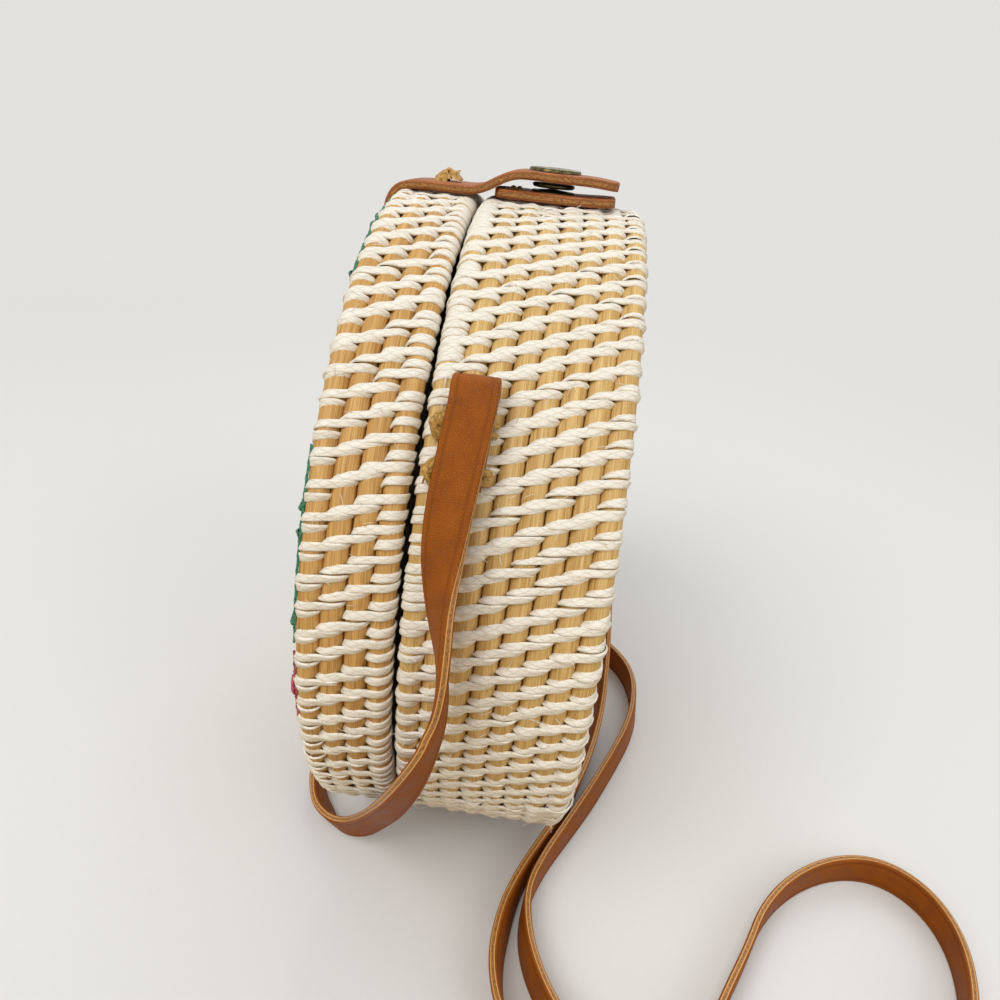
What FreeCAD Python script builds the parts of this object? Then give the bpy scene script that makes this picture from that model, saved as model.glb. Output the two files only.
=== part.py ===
"""Round rattan bag with a hinged lid, a leather snap closure and a leather shoulder strap.

Millimetres, +Z up. The bag stands on its round wall with its axis along Y: the lid and its embroidered
front face -Y, the deep body +Y. The origin is on the floor, under the middle of the bag.
"""
import FreeCAD, Part
import math
import os

from FreeCAD import Placement, Rotation, Vector

doc = FreeCAD.newDocument("round_rattan_bag")
sheet = doc.addObject("Spreadsheet::Sheet", "sizes")

DRIVING_SIZES = [
    # Rattan coil: one rod, its diameter taken over the white binding strand
    ("outer_radius", 100.0),
    ("coil_dia", 5.9),
    ("coil_pitch", 5.85),
    ("lid_turns", 4),
    ("body_turns", 8),
    ("parting_gap", 1.4),
    ("coil_fit", 0.05),
    # Cotton lining
    ("lining_gap", 1.4),
    ("lining_thick", 0.8),
    ("lining_rim_inset", 1.0),
    # Cane strip used for ties and hinge loops
    ("cane_thick", 0.9),
    ("cane_width", 2.2),
    ("tie_bite", 3.0),
    ("tie_slot_gap", 0.1),
    # Hinge at the foot of the parting line
    ("hinge_height", 2.0),
    ("hinge_pin_dia", 2.0),
    ("hinge_hold_gap", 0.02),
    ("hinge_run_gap", 0.05),
    ("hinge_cane_thick", 0.65),
    ("hinge_cane_width", 3.0),
    ("hinge_rod_gap", 0.12),
    ("body_loop_place", 25.0),
    ("lid_loop_place", 30.0),
    ("hinge_pin_over", 0.8),
    # Closure leather
    ("leather_thick", 2.4),
    ("leather_gap", 0.15),
    ("closure_width", 20.0),
    ("closure_drop", 24.0),
    ("closure_tie_place", 12.0),
    ("closure_tie_span", 7.0),
    ("closure_knot_dia", 4.6),
    ("front_tie_drop", 16.0),
    ("flap_hinge_place", 5.0),
    ("flap_hinge_gap", 0.5),
    ("flap_bend_place", 9.0),
    ("flap_reach", 39.0),
    ("tab_start", 4.3),
    ("tab_length", 34.4),
    ("tab_tie_place", 5.5),
    # Press stud
    ("snap_place", 20.5),
    ("cap_dia", 15.0),
    ("cap_rim_thick", 0.9),
    ("cap_crown_thick", 0.8),
    ("cap_crown_inset", 1.6),
    ("socket_dia", 12.5),
    ("socket_thick", 1.4),
    ("socket_bore_dia", 6.0),
    ("socket_bore_depth", 0.9),
    ("stud_flange_dia", 13.5),
    ("stud_flange_thick", 0.5),
    ("stud_dia", 4.6),
    ("stud_rise", 0.5),
    ("snap_gap", 0.3),
    ("rivet_dia", 3.0),
    ("rivet_gap", 0.05),
    # Shoulder strap and its ends on the body's wall
    ("strap_width", 10.5),
    ("strap_thick", 2.4),
    ("strap_place", 11.4),
    ("strap_fold_radius", 1.2),
    ("strap_fold_angle", 39.2),
    ("strap_end_angle", 27.3),
    ("strap_exit_angle", 36.5),
    ("upper_tie_angle", 34.9),
    ("lower_tie_angle", 28.9),
    ("strap_tie_margin", 0.5),
    ("strap_join_gap", 0.3),
    # Embroidery on the lid's front
    ("stitch_pad_thick", 0.8),
    ("wreath_radius", 88.0),
    ("leaf_length", 22.0),
    ("leaf_width", 7.0),
    ("petal_radius", 3.5),
    ("petal_ring_radius", 6.8),
    ("flower_eye_radius", 2.8),
]

for row, (alias, number) in enumerate(DRIVING_SIZES, start=1):
    sheet.set(f"A{row}", alias)
    sheet.set(f"B{row}", str(number))
    sheet.setAlias(f"B{row}", alias)
doc.recompute()

# Places that several pieces share, as formulas of the sheet's cells
HALF_GAP = "sizes.parting_gap / 2"
TOP = "2 * sizes.outer_radius"
LID_DEPTH = "((sizes.lid_turns - 1) * sizes.coil_pitch + sizes.coil_dia)"
BODY_DEPTH = "((sizes.body_turns - 1) * sizes.coil_pitch + sizes.coil_dia)"
FRONT_PROUD = "(sizes.leather_gap + sizes.leather_thick + sizes.cane_thick)"
GROOVE = f"0.5 * ({LID_DEPTH} + {FRONT_PROUD} - {BODY_DEPTH})"
LEATHER_TOP = f"{TOP} + sizes.leather_gap + sizes.leather_thick"
SNAP_STACK = "(sizes.stud_flange_thick + sizes.stud_rise + sizes.snap_gap + sizes.socket_thick)"
FLAP_UNDER = f"{LEATHER_TOP} + {SNAP_STACK}"
SNAP_Y = f"{GROOVE} + sizes.snap_place"
LID_FRONT = f"{GROOVE} - {HALF_GAP} - {LID_DEPTH}"


def size(formula):
    """The value of one of the sheet's cells, or of a formula of them."""
    text = formula if "sizes." in formula else "sizes." + formula
    return float(sheet.evalExpression(text))


pieces = []


def piece(obj, label):
    """Gives a finished sub-part its name and lists it for export."""
    obj.Label = label
    pieces.append(obj)
    return obj


def bind(obj, formulas):
    for name, formula in formulas.items():
        obj.setExpression(name, formula)
    return obj


def primitive(kind, name, sizes, place, turn=None):
    """A Part primitive whose sizes and place are formulas of the sheet's cells."""
    obj = doc.addObject(kind, name)
    if turn is not None:
        obj.Placement = Placement(Vector(), turn)
    bind(obj, sizes)
    return bind(obj, {"Placement.Base." + axis: formula for axis, formula in zip("xyz", place)})


def disc(name, radius, height, place, turn=None):
    return primitive("Part::Cylinder", name, {"Radius": radius, "Height": height}, place, turn)


def block(name, length, width, height, place):
    """A box centred on its place in X and Y, standing on it in Z."""
    corner = (f"{place[0]} - ({length}) / 2", f"{place[1]} - ({width}) / 2", place[2])
    return primitive("Part::Box", name, {"Length": length, "Width": width, "Height": height}, corner)


def fuse(name, parts):
    obj = doc.addObject("Part::MultiFuse", name)
    obj.Shapes = parts
    return obj


def cut(name, base, tool):
    obj = doc.addObject("Part::Cut", name)
    obj.Base = base
    obj.Tool = tool
    return obj


def sketched_body(name, plane_role, edges):
    """A body with one sketch on one of its own origin planes."""
    body = doc.addObject("PartDesign::Body", name)
    plane = next(f for f in body.Origin.OriginFeatures if f.Role == plane_role)
    sketch = body.newObject("Sketcher::SketchObject", name + "_outline")
    sketch.AttachmentSupport = [(plane, "")]
    sketch.MapMode = "FlatFace"
    for edge in edges:
        sketch.addGeometry(edge)
    return body, sketch


def padded(name, plane_role, edges, width):
    """A body padded to both sides of its sketch."""
    body, sketch = sketched_body(name, plane_role, edges)
    pad = body.newObject("PartDesign::Pad", name + "_pad")
    pad.Profile = sketch
    pad.SideType = "Symmetric"
    pad.setExpression("Length", width)
    return body


def turned(name, edges, faces_front):
    """A body turned about the bag's axis; its outline is in radius and distance from the parting plane."""
    body, sketch = sketched_body(name, "XY_Plane", edges)
    revolution = body.newObject("PartDesign::Revolution", name + "_turn")
    revolution.Profile = sketch
    revolution.ReferenceAxis = (sketch, ["V_Axis"])
    revolution.Angle = 360
    if faces_front:
        body.Placement = Placement(Vector(), Rotation(Vector(0, 0, 1), 180))
    return bind(body, {"Placement.Base.y": GROOVE, "Placement.Base.z": "sizes.outer_radius"})


def line(start, end):
    return Part.LineSegment(Vector(*start, 0), Vector(*end, 0))


def polygon(points):
    return [line(a, b) for a, b in zip(points, points[1:] + points[:1])]


def arc(centre, radius, start_deg, end_deg):
    """A counter-clockwise arc in a sketch."""
    circle = Part.Circle(Vector(*centre, 0), Vector(0, 0, 1), radius)
    return Part.ArcOfCircle(circle, math.radians(start_deg), math.radians(end_deg))


def polar(centre, radius, angle_deg):
    angle = math.radians(angle_deg)
    return centre[0] + radius * math.cos(angle), centre[1] + radius * math.sin(angle)


# Rattan coils

def rod_places(turns):
    """Distances of a wall's rods from the parting plane, rim first."""
    first = size(HALF_GAP) + size("coil_dia") / 2
    return [first + i * size("coil_pitch") for i in range(turns)]


def wall_outline(turns):
    """Section of rods bound side by side: each is round, and neighbours meet in a cusp."""
    rod = size("coil_dia") / 2
    ring = size("outer_radius") - rod
    cusp = math.degrees(math.asin(size("coil_pitch") / 2 / rod))
    places = rod_places(turns)
    edges = [arc((ring, places[0]), rod, 180 - cusp, 360 + cusp)]
    edges += [arc((ring, a), rod, -cusp, cusp) for a in places[1:-1]]
    edges.append(arc((ring, places[-1]), rod, -cusp, 180 + cusp))
    edges += [arc((ring, a), rod, 180 - cusp, 180 + cusp) for a in reversed(places[1:-1])]
    return edges


def face_outline(turns):
    """Section of the flat coil inside the wall's last rod, from the bag's axis outwards."""
    rod = size("coil_dia") / 2
    pitch = size("coil_pitch")
    height = rod_places(turns)[-1]
    ring = size("outer_radius") - rod
    count = int((ring - pitch / 2) / pitch)
    rings = [ring - k * pitch for k in range(count, 0, -1)]
    cusp = math.degrees(math.acos(pitch / 2 / rod))
    edge_radius = ring - rod - size("coil_fit")
    edge_angle = math.degrees(math.acos((edge_radius - rings[-1]) / rod))
    half_edge = rod * math.sin(math.radians(edge_angle))
    half_cusp = rod * math.sin(math.radians(cusp))
    core = rings[0] - pitch / 2
    edges = [arc((r, height), rod, 180 + cusp, 360 - cusp) for r in rings[:-1]]
    edges.append(arc((rings[-1], height), rod, 180 + cusp, 360 - edge_angle))
    edges.append(line((edge_radius, height - half_edge), (edge_radius, height + half_edge)))
    edges.append(arc((rings[-1], height), rod, edge_angle, 180 - cusp))
    edges += [arc((r, height), rod, cusp, 180 - cusp) for r in reversed(rings[:-1])]
    edges.append(line((core, height + half_cusp), (0, height + half_cusp)))
    edges.append(line((0, height + half_cusp), (0, height - half_cusp)))
    edges.append(line((0, height - half_cusp), (core, height - half_cusp)))
    return edges


def lining_outline(turns):
    """Section of a cotton cup: a short wall inside the rods and a floor on the flat coil."""
    outside = size("outer_radius") - size("coil_dia") - size("lining_gap")
    inside = outside - size("lining_thick")
    rim = size(HALF_GAP) + size("lining_rim_inset")
    under = rod_places(turns)[-1] - size("coil_dia") / 2 - size("lining_gap")
    floor = under - size("lining_thick")
    return polygon([(outside, rim), (outside, under), (0, under), (0, floor), (inside, floor), (inside, rim)])


for half, faces_front in (("lid", True), ("body", False)):
    half_turns = int(size(half + "_turns"))
    piece(turned(half + "_wall", wall_outline(half_turns), faces_front), half + "_wall_coil")
    piece(turned(half + "_face", face_outline(half_turns), faces_front), half + "_face_coil")
    piece(turned(half + "_cup", lining_outline(half_turns), faces_front), half + "_lining")


# Hinge: two short cane pins in the parting groove, each looped to the rim rods on either side

def belt(pin, pin_radius, rod, rod_radius):
    """Outline of a band laid round two circles of a section."""
    span = math.dist(pin, rod)
    lean = math.degrees(math.atan2(rod[1] - pin[1], rod[0] - pin[0]))
    touch = math.degrees(math.acos((pin_radius - rod_radius) / span))
    return [
        arc(pin, pin_radius, lean + touch, lean - touch + 360),
        line(polar(pin, pin_radius, lean - touch), polar(rod, rod_radius, lean - touch)),
        arc(rod, rod_radius, lean - touch, lean + touch),
        line(polar(rod, rod_radius, lean + touch), polar(pin, pin_radius, lean + touch)),
    ]


def hinge_loop(name, half, place_alias, run_gap, side):
    """A cane loop round a hinge pin and the rim rod above it."""
    place = size(place_alias)
    ring = size("outer_radius") - size("coil_dia") / 2
    reach = size(HALF_GAP) + size("coil_dia") / 2
    rod = (-reach if half == "lid" else reach, size("outer_radius") - math.sqrt(ring ** 2 - place ** 2))
    pin = (0.0, size("hinge_height"))
    pin_radius = size("hinge_pin_dia") / 2 + size(run_gap)
    rod_radius = size("coil_dia") / 2 + size("hinge_rod_gap")
    cane = size("hinge_cane_thick")
    edges = belt(pin, pin_radius + cane, rod, rod_radius + cane) + belt(pin, pin_radius, rod, rod_radius)
    body = padded(name, "YZ_Plane", edges, "sizes.hinge_cane_width")
    return bind(body, {"Placement.Base.x": f"{side} * sizes.{place_alias}", "Placement.Base.y": GROOVE})


PIN_START = "sizes.body_loop_place - sizes.hinge_cane_width / 2 - sizes.hinge_pin_over"
PIN_END = "sizes.lid_loop_place + sizes.hinge_cane_width / 2 + sizes.hinge_pin_over"
for end, side in (("near", 1), ("far", -1)):
    pin_place = (PIN_START if side > 0 else f"-({PIN_END})", GROOVE, "sizes.hinge_height")
    pin = disc("pin_" + end, "sizes.hinge_pin_dia / 2", f"({PIN_END}) - ({PIN_START})", pin_place,
               Rotation(Vector(0, 1, 0), 90))
    piece(pin, "hinge_pin_" + end)
    body_loop = hinge_loop("body_loop_" + end, "body", "body_loop_place", "hinge_hold_gap", side)
    piece(body_loop, "hinge_body_loop_" + end)
    lid_loop = hinge_loop("lid_loop_" + end, "lid", "lid_loop_place", "hinge_run_gap", side)
    piece(lid_loop, "hinge_lid_loop_" + end)


# Cane ties: a strip over the leather with two legs that bite into the coil under it

def staple(name, span, depth, knot_dia=None):
    """A tie in its own frame: the leather's surface is Z 0, and the strip runs along X."""
    leg_x = f"(({span}) - sizes.cane_thick) / 2"
    parts = [block(name + "_strip", span, "sizes.cane_width", "sizes.cane_thick", ("0", "0", "0"))]
    for leg, side in (("left", "-"), ("right", "")):
        place = (f"{side}({leg_x})", "0", f"-({depth})")
        parts.append(block(f"{name}_{leg}_leg", "sizes.cane_thick", "sizes.cane_width", depth, place))
    if knot_dia:
        knot_place = ("0", "0", f"sizes.cane_thick / 2 + {knot_dia} / 4")
        knot = primitive("Part::Sphere", name + "_knot", {"Radius": f"{knot_dia} / 2"}, knot_place)
        flat = block(name + "_knot_bed", knot_dia, knot_dia, knot_dia, ("0", "0", f"-{knot_dia}"))
        parts.append(cut(name + "_knot_top", knot, flat))
    return fuse(name, parts)


def slots(name, span, depth):
    """The two slots that a tie's legs pass through."""
    slot_x = f"(({span}) - sizes.cane_thick) / 2"
    length = "sizes.cane_thick + 2 * sizes.tie_slot_gap"
    width = "sizes.cane_width + 2 * sizes.tie_slot_gap"
    parts = []
    for leg, side in (("left", "-"), ("right", "")):
        place = (f"{side}({slot_x})", "0", f"-({depth})")
        parts.append(block(f"{name}_{leg}", length, width, f"2 * ({depth})", place))
    return fuse(name, parts)


LEATHER_TIE_DEPTH = "(sizes.leather_thick + sizes.leather_gap + sizes.tie_bite)"
SLOT_DEPTH = "(2 * sizes.leather_thick)"


def tied_leather(label, leather, ties):
    """Leather with slots for its ties, and the ties in them: (label, place, turn, knot)."""
    tools = []
    for tie_label, place, turn, knot_dia in ties:
        tie = staple(tie_label + "_tie", "sizes.closure_tie_span", LEATHER_TIE_DEPTH, knot_dia)
        slot = slots(tie_label + "_slots", "sizes.closure_tie_span", SLOT_DEPTH)
        for obj in (tie, slot):
            obj.Placement = Placement(Vector(), turn)
            bind(obj, {"Placement.Base." + axis: formula for axis, formula in zip("xyz", place)})
        piece(tie, tie_label)
        tools.append(slot)
    return cut(label + "_tied", leather, fuse(label + "_slots", tools) if len(tools) > 1 else tools[0])


# Closure: a leather strap tied over the lid's edge, its free flap, and a tab under it on the body

def closure_base_outline():
    """Section of the tied part: down the lid's front, round its top edge and along to the flap."""
    rod = size("coil_dia") / 2
    top = size(TOP)
    corner = (size(LID_FRONT) + rod, top - rod)
    inner = rod + size("leather_gap")
    outer = inner + size("leather_thick")
    low = corner[1] - size("closure_drop")
    end = size(GROOVE) - size("flap_hinge_place") - size("leather_thick") / 2 - size("flap_hinge_gap")
    return [
        line((corner[0] - outer, low), (corner[0] - inner, low)),
        line((corner[0] - inner, low), (corner[0] - inner, corner[1])),
        arc(corner, inner, 90, 180),
        line((corner[0], corner[1] + inner), (end, corner[1] + inner)),
        line((end, corner[1] + inner), (end, corner[1] + outer)),
        line((end, corner[1] + outer), (corner[0], corner[1] + outer)),
        arc(corner, outer, 90, 180),
        line((corner[0] - outer, corner[1]), (corner[0] - outer, low)),
    ]


def closure_flap_outline():
    """Section of the flap: a round nose at its hinge line, a rise, and a level stretch over the snap."""
    half = size("leather_thick") / 2
    hinge = (size(GROOVE) - size("flap_hinge_place"), size(LEATHER_TOP) - half)
    bend = (size(GROOVE) + size("flap_bend_place"), size(FLAP_UNDER) + half)
    end = size(GROOVE) + size("flap_reach")
    slope = math.degrees(math.atan2(bend[1] - hinge[1], bend[0] - hinge[0]))
    mitre = half * math.tan(math.radians(slope / 2))
    under_hinge = polar(hinge, half, slope - 90)
    over_hinge = polar(hinge, half, slope + 90)
    return [
        arc(hinge, half, slope + 90, slope + 270),
        line(under_hinge, (bend[0] + mitre, bend[1] - half)),
        line((bend[0] + mitre, bend[1] - half), (end, bend[1] - half)),
        line((end, bend[1] - half), (end, bend[1] + half)),
        line((end, bend[1] + half), (bend[0] - mitre, bend[1] + half)),
        line((bend[0] - mitre, bend[1] + half), over_hinge),
    ]


base_leather = padded("closure_base_leather", "YZ_Plane", closure_base_outline(), "sizes.closure_width")
top_tie_place = ("0", f"{GROOVE} - sizes.closure_tie_place", LEATHER_TOP)
front_tie_place = ("0", f"{LID_FRONT} - sizes.leather_gap - sizes.leather_thick",
                   f"{TOP} - sizes.coil_dia / 2 - sizes.front_tie_drop")
base_ties = [
    ("closure_tie", top_tie_place, Rotation(), "sizes.closure_knot_dia"),
    ("closure_front_tie", front_tie_place, Rotation(Vector(1, 0, 0), 90), None),
]
piece(tied_leather("closure_base", base_leather, base_ties), "closure_base")

flap_leather = padded("closure_flap_leather", "YZ_Plane", closure_flap_outline(), "sizes.closure_width")
RIVET_HOLE = "sizes.rivet_dia / 2 + sizes.rivet_gap"
flap_hole = disc("flap_rivet_hole", RIVET_HOLE, "3 * sizes.leather_thick",
                 ("0", SNAP_Y, f"{FLAP_UNDER} - sizes.leather_thick"))
piece(cut("flap_cut", flap_leather, flap_hole), "closure_flap")

tab_middle = f"{GROOVE} + sizes.tab_start + sizes.tab_length / 2"
tab_leather = block("closure_tab_leather", "sizes.closure_width", "sizes.tab_length", "sizes.leather_thick",
                    ("0", tab_middle, f"{TOP} + sizes.leather_gap"))
tab_tie_place = ("0", f"{GROOVE} + sizes.tab_start + sizes.tab_tie_place", LEATHER_TOP)
tab_tied = tied_leather("closure_tab", tab_leather, [("closure_tab_tie", tab_tie_place, Rotation(), None)])
tab_hole = disc("tab_rivet_hole", RIVET_HOLE, "3 * sizes.leather_thick", ("0", SNAP_Y, TOP))
piece(cut("tab_cut", tab_tied, tab_hole), "closure_tab")


# Press stud: cap and socket riveted through the flap, stud riveted through the tab

CAP_UNDER = f"{FLAP_UNDER} + sizes.leather_thick"
cap_rim = disc("cap_rim", "sizes.cap_dia / 2", "sizes.cap_rim_thick", ("0", SNAP_Y, CAP_UNDER))
cap_crown = primitive(
    "Part::Cone", "cap_crown",
    {"Radius1": "sizes.cap_dia / 2", "Radius2": "sizes.cap_dia / 2 - sizes.cap_crown_inset",
     "Height": "sizes.cap_crown_thick"},
    ("0", SNAP_Y, f"{CAP_UNDER} + sizes.cap_rim_thick"))
cap_rivet = disc("cap_rivet", "sizes.rivet_dia / 2", "sizes.leather_thick", ("0", SNAP_Y, FLAP_UNDER))
piece(fuse("cap", [cap_rim, cap_crown, cap_rivet]), "snap_cap")

SOCKET_UNDER = f"{FLAP_UNDER} - sizes.socket_thick"
socket_disc = disc("socket_disc", "sizes.socket_dia / 2", "sizes.socket_thick", ("0", SNAP_Y, SOCKET_UNDER))
socket_bore = disc("socket_bore", "sizes.socket_bore_dia / 2", "sizes.socket_bore_depth",
                   ("0", SNAP_Y, SOCKET_UNDER))
piece(cut("socket", socket_disc, socket_bore), "snap_socket")

stud_flange = disc("stud_flange", "sizes.stud_flange_dia / 2", "sizes.stud_flange_thick",
                   ("0", SNAP_Y, LEATHER_TOP))
stud_post = disc("stud_post", "sizes.stud_dia / 2", "sizes.stud_rise",
                 ("0", SNAP_Y, f"{LEATHER_TOP} + sizes.stud_flange_thick"))
stud_rivet = disc("stud_rivet", "sizes.rivet_dia / 2", "sizes.leather_thick",
                  ("0", SNAP_Y, f"{TOP} + sizes.leather_gap"))
piece(fuse("stud", [stud_flange, stud_post, stud_rivet]), "snap_stud")


# Shoulder strap ends: tied flat to the wall, folded over and hanging down again

def strap_end_outline():
    """Section of a strap end, about the bag's axis in the XZ plane."""
    centre = (0.0, 0.0)
    thick = size("strap_thick")
    fold_radius = size("strap_fold_radius")
    fold = size("strap_fold_angle")
    end = size("strap_end_angle")
    leave = size("strap_exit_angle")
    under = size("outer_radius") + size("leather_gap")
    over = under + thick
    fold_ring = over + fold_radius
    hang_in = fold_ring + fold_radius
    hang_out = hang_in + thick
    pivot = polar(centre, fold_ring, fold)
    return [
        arc(centre, under, end, fold),
        arc(pivot, fold_radius + thick, fold, fold + 180),
        arc(centre, hang_out, leave, fold),
        line(polar(centre, hang_out, leave), polar(centre, hang_in, leave)),
        arc(centre, hang_in, leave, fold),
        arc(pivot, fold_radius, fold, fold + 180),
        arc(centre, over, end, fold),
        line(polar(centre, over, end), polar(centre, under, end)),
    ]


STRAP_Y = f"{GROOVE} + sizes.strap_place"
STRAP_TIE_SPAN = "(sizes.strap_width + 2 * sizes.strap_tie_margin + 2 * sizes.cane_thick)"
STRAP_TIE_DEPTH = "(sizes.strap_thick + sizes.leather_gap + sizes.tie_bite)"
for end, half_turn in (("near", 0), ("far", 180)):
    strap_end = padded("strap_end_" + end, "XZ_Plane", strap_end_outline(), "sizes.strap_width")
    strap_end.Placement = Placement(Vector(), Rotation(Vector(0, 0, 1), half_turn))
    bind(strap_end, {"Placement.Base.y": STRAP_Y, "Placement.Base.z": "sizes.outer_radius"})
    piece(strap_end, f"strap_{end}_end")
    for which in ("upper", "lower"):
        tie = staple(f"strap_tie_{end}_{which}", STRAP_TIE_SPAN, STRAP_TIE_DEPTH)
        angle = math.radians(size(which + "_tie_angle"))
        out = Vector(math.cos(angle) * (1 if end == "near" else -1), 0, math.sin(angle))
        along = Vector(0, 1, 0)
        stand = size("outer_radius") + size("leather_gap") + size("strap_thick")
        centre = Vector(0, size(STRAP_Y), size("outer_radius"))
        tie.Placement = Placement(centre + out * stand, Rotation(along, out.cross(along), out, "ZXY"))
        piece(tie, f"strap_{end}_tie_{which}")


# Shoulder strap: one flat strip along a hand-chosen route, cut into stretches. Each point has the strip's
# middle and the direction of its width, which turns as the strap twists.

FLAT_ALONG_Y = (0, 1, 0)
ON_EDGE = (0, 0, 1)
FLOOR = 5.4
STRAP_STRETCHES = [
    ("strap_near_drop", [
        ((85.6, 1.4, 163.1), FLAT_ALONG_Y),
        ((93.2, 0.3, 151.5), (0.15, 1, 0)),
        ((99.4, -0.5, 139.5), (0.31, 0.94, 0.13)),
        ((104.2, -0.1, 127.5), (0.73, 0.61, 0.3)),
        ((107.2, 1.8, 116.0), (0.92, 0.34, 0.18)),
        ((107.8, 2.6, 107.0), (1, 0.12, -0.05)),
        ((107.2, 2.4, 98.6), (0.97, -0.12, -0.2)),
        ((108.7, 1.3, 91.2), (0.9, -0.4, -0.2)),
        ((104.3, -4.5, 70.6), (0.6, -0.8, 0)),
        ((88.5, -12.7, 43.6), (0.3, -0.9, 0.2)),
        ((75.7, -18.7, 25.2), (0.3, -0.8, 0.4)),
    ]),
    ("strap_front_run", [
        ((67.4, -25.6, 11.0), (0.2, -0.7, 0.7)),
        ((64.6, -31.7, FLOOR + 1.8), (0.2, -0.6, 0.8)),
        ((61.1, -36.8, FLOOR + 0.9), (0.2, -0.5, 0.8)),
        ((56.0, -40.6, FLOOR + 0.5), (0.2, -0.6, 0.8)),
        ((48.4, -44.7, FLOOR + 0.3), (0, -0.4, 0.9)),
        ((36.2, -47.9, FLOOR + 0.1), (0, -0.2, 1)),
        ((17.0, -47.4, FLOOR), ON_EDGE),
        ((-6.0, -47.6, FLOOR), ON_EDGE),
        ((-29.0, -45.0, FLOOR), ON_EDGE),
        ((-47.0, -39.0, FLOOR), ON_EDGE),
        ((-59.0, -30.5, FLOOR), ON_EDGE),
    ]),
    ("strap_back_run", [
        ((-67.0, -19.0, FLOOR), ON_EDGE),
        ((-72.0, -3.0, FLOOR), ON_EDGE),
        ((-73.5, 16.0, FLOOR), ON_EDGE),
        ((-71.0, 35.0, FLOOR), ON_EDGE),
        ((-63.0, 51.0, FLOOR), ON_EDGE),
        ((-51.0, 63.0, FLOOR), ON_EDGE),
        ((-36.0, 70.0, FLOOR), ON_EDGE),
        ((-18.0, 70.6, FLOOR), (0, -0.15, 1)),
        ((-1.0, 66.8, FLOOR), (0.1, -0.2, 1)),
        ((17.0, 59.4, FLOOR), (0.1, -0.2, 1)),
        ((35.0, 51.4, FLOOR), (0.1, -0.2, 1)),
        ((51.0, 43.2, FLOOR), (0.05, -0.1, 1)),
        ((65.5, 35.6, FLOOR), ON_EDGE),
        ((79.0, 30.8, FLOOR), ON_EDGE),
        ((93.0, 31.4, FLOOR), (0, 0.15, 1)),
    ]),
    ("strap_loop", [
        ((106.0, 36.4, FLOOR), (0, 0.15, 1)),
        ((117.5, 45.0, FLOOR), ON_EDGE),
        ((123.5, 57.5, FLOOR), ON_EDGE),
        ((122.5, 71.0, FLOOR), ON_EDGE),
        ((114.0, 80.8, FLOOR), ON_EDGE),
        ((101.0, 88.0, FLOOR), ON_EDGE),
        ((87.0, 96.6, FLOOR), ON_EDGE),
        ((72.5, 104.2, FLOOR), ON_EDGE),
        ((60.0, 115.6, FLOOR), ON_EDGE),
        ((50.5, 130.5, FLOOR), ON_EDGE),
        ((47.2, 144.8, FLOOR), ON_EDGE),
        ((50.6, 155.8, FLOOR), ON_EDGE),
        ((60.0, 163.2, FLOOR), ON_EDGE),
        ((73.5, 165.0, FLOOR), ON_EDGE),
        ((89.5, 161.2, FLOOR), ON_EDGE),
        ((104.5, 153.0, FLOOR), ON_EDGE),
        ((117.8, 140.8, FLOOR), ON_EDGE),
        ((128.0, 125.6, FLOOR), ON_EDGE),
        ((135.0, 108.2, FLOOR), ON_EDGE),
        ((137.6, 88.6, FLOOR), ON_EDGE),
        ((136.4, 66.0, FLOOR), ON_EDGE),
        ((131.0, 43.5, FLOOR), ON_EDGE),
        ((119.0, 28.0, FLOOR), (0, -0.2, 1)),
    ]),
    ("strap_far_drop", [
        ((103.0, 23.4, FLOOR), (0, -0.3, 1)),
        ((87.5, 24.6, FLOOR), (0, -0.3, 1)),
        ((73.5, 28.2, FLOOR), (0, -0.1, 1)),
        ((58.5, 35.0, FLOOR), ON_EDGE),
        ((43.5, 42.3, FLOOR), ON_EDGE),
        ((27.5, 47.2, FLOOR), (0, 0.2, 1)),
        ((10.5, 51.2, FLOOR + 0.4), (0, 0.3, 1)),
        ((-7.0, 54.4, FLOOR + 2.6), (0, 0.3, 1)),
        ((-25.0, 55.4, FLOOR + 9.4), (0, 0.3, 1)),
        ((-42.0, 54.8, FLOOR + 22.0), (0.1, 0.3, 1)),
        ((-58.0, 53.6, FLOOR + 37.0), (0.3, 0.3, 1)),
        ((-74.0, 51.4, FLOOR + 48.6), (0.5, 0.35, 1)),
        ((-90.5, 48.5, FLOOR + 57.6), (0.75, 0.55, 0.8)),
        ((-103.5, 41.5, FLOOR + 67.6), (0.7, 0.85, 0.5)),
        ((-110.0, 29.5, FLOOR + 79.6), (0.45, 1, 0.4)),
        ((-110.5, 16.0, FLOOR + 93.6), (0.2, 1, 0.3)),
        ((-108.0, 7.0, FLOOR + 108.6), (0.05, 1, 0.15)),
        ((-104.0, 2.8, FLOOR + 122.6), FLAT_ALONG_Y),
        ((-98.6, 1.4, FLOOR + 134.6), FLAT_ALONG_Y),
        ((-92.8, 1.4, FLOOR + 145.6), FLAT_ALONG_Y),
        ((-85.6, 1.4, FLOOR + 157.7), FLAT_ALONG_Y),
    ]),
]
ARC_SHARE = 0.45


class Station:
    """One cross-section of the strap: its middle, its direction and the direction of its width."""

    def __init__(self, middle, ahead, across):
        self.middle = middle
        self.ahead = Vector(ahead).normalize()
        self.across = (across - self.ahead * across.dot(self.ahead)).normalize()

    def outline(self, width, thick, slide=0.0):
        middle = self.middle + self.ahead * slide
        side = self.across * (width / 2)
        face = self.ahead.cross(self.across) * (thick / 2)
        corners = [middle - side - face, middle + side - face, middle + side + face, middle - side + face]
        return Part.makePolygon(corners + corners[:1])


def mix(a, b, share):
    return a * (1 - share) + b * share


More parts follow.
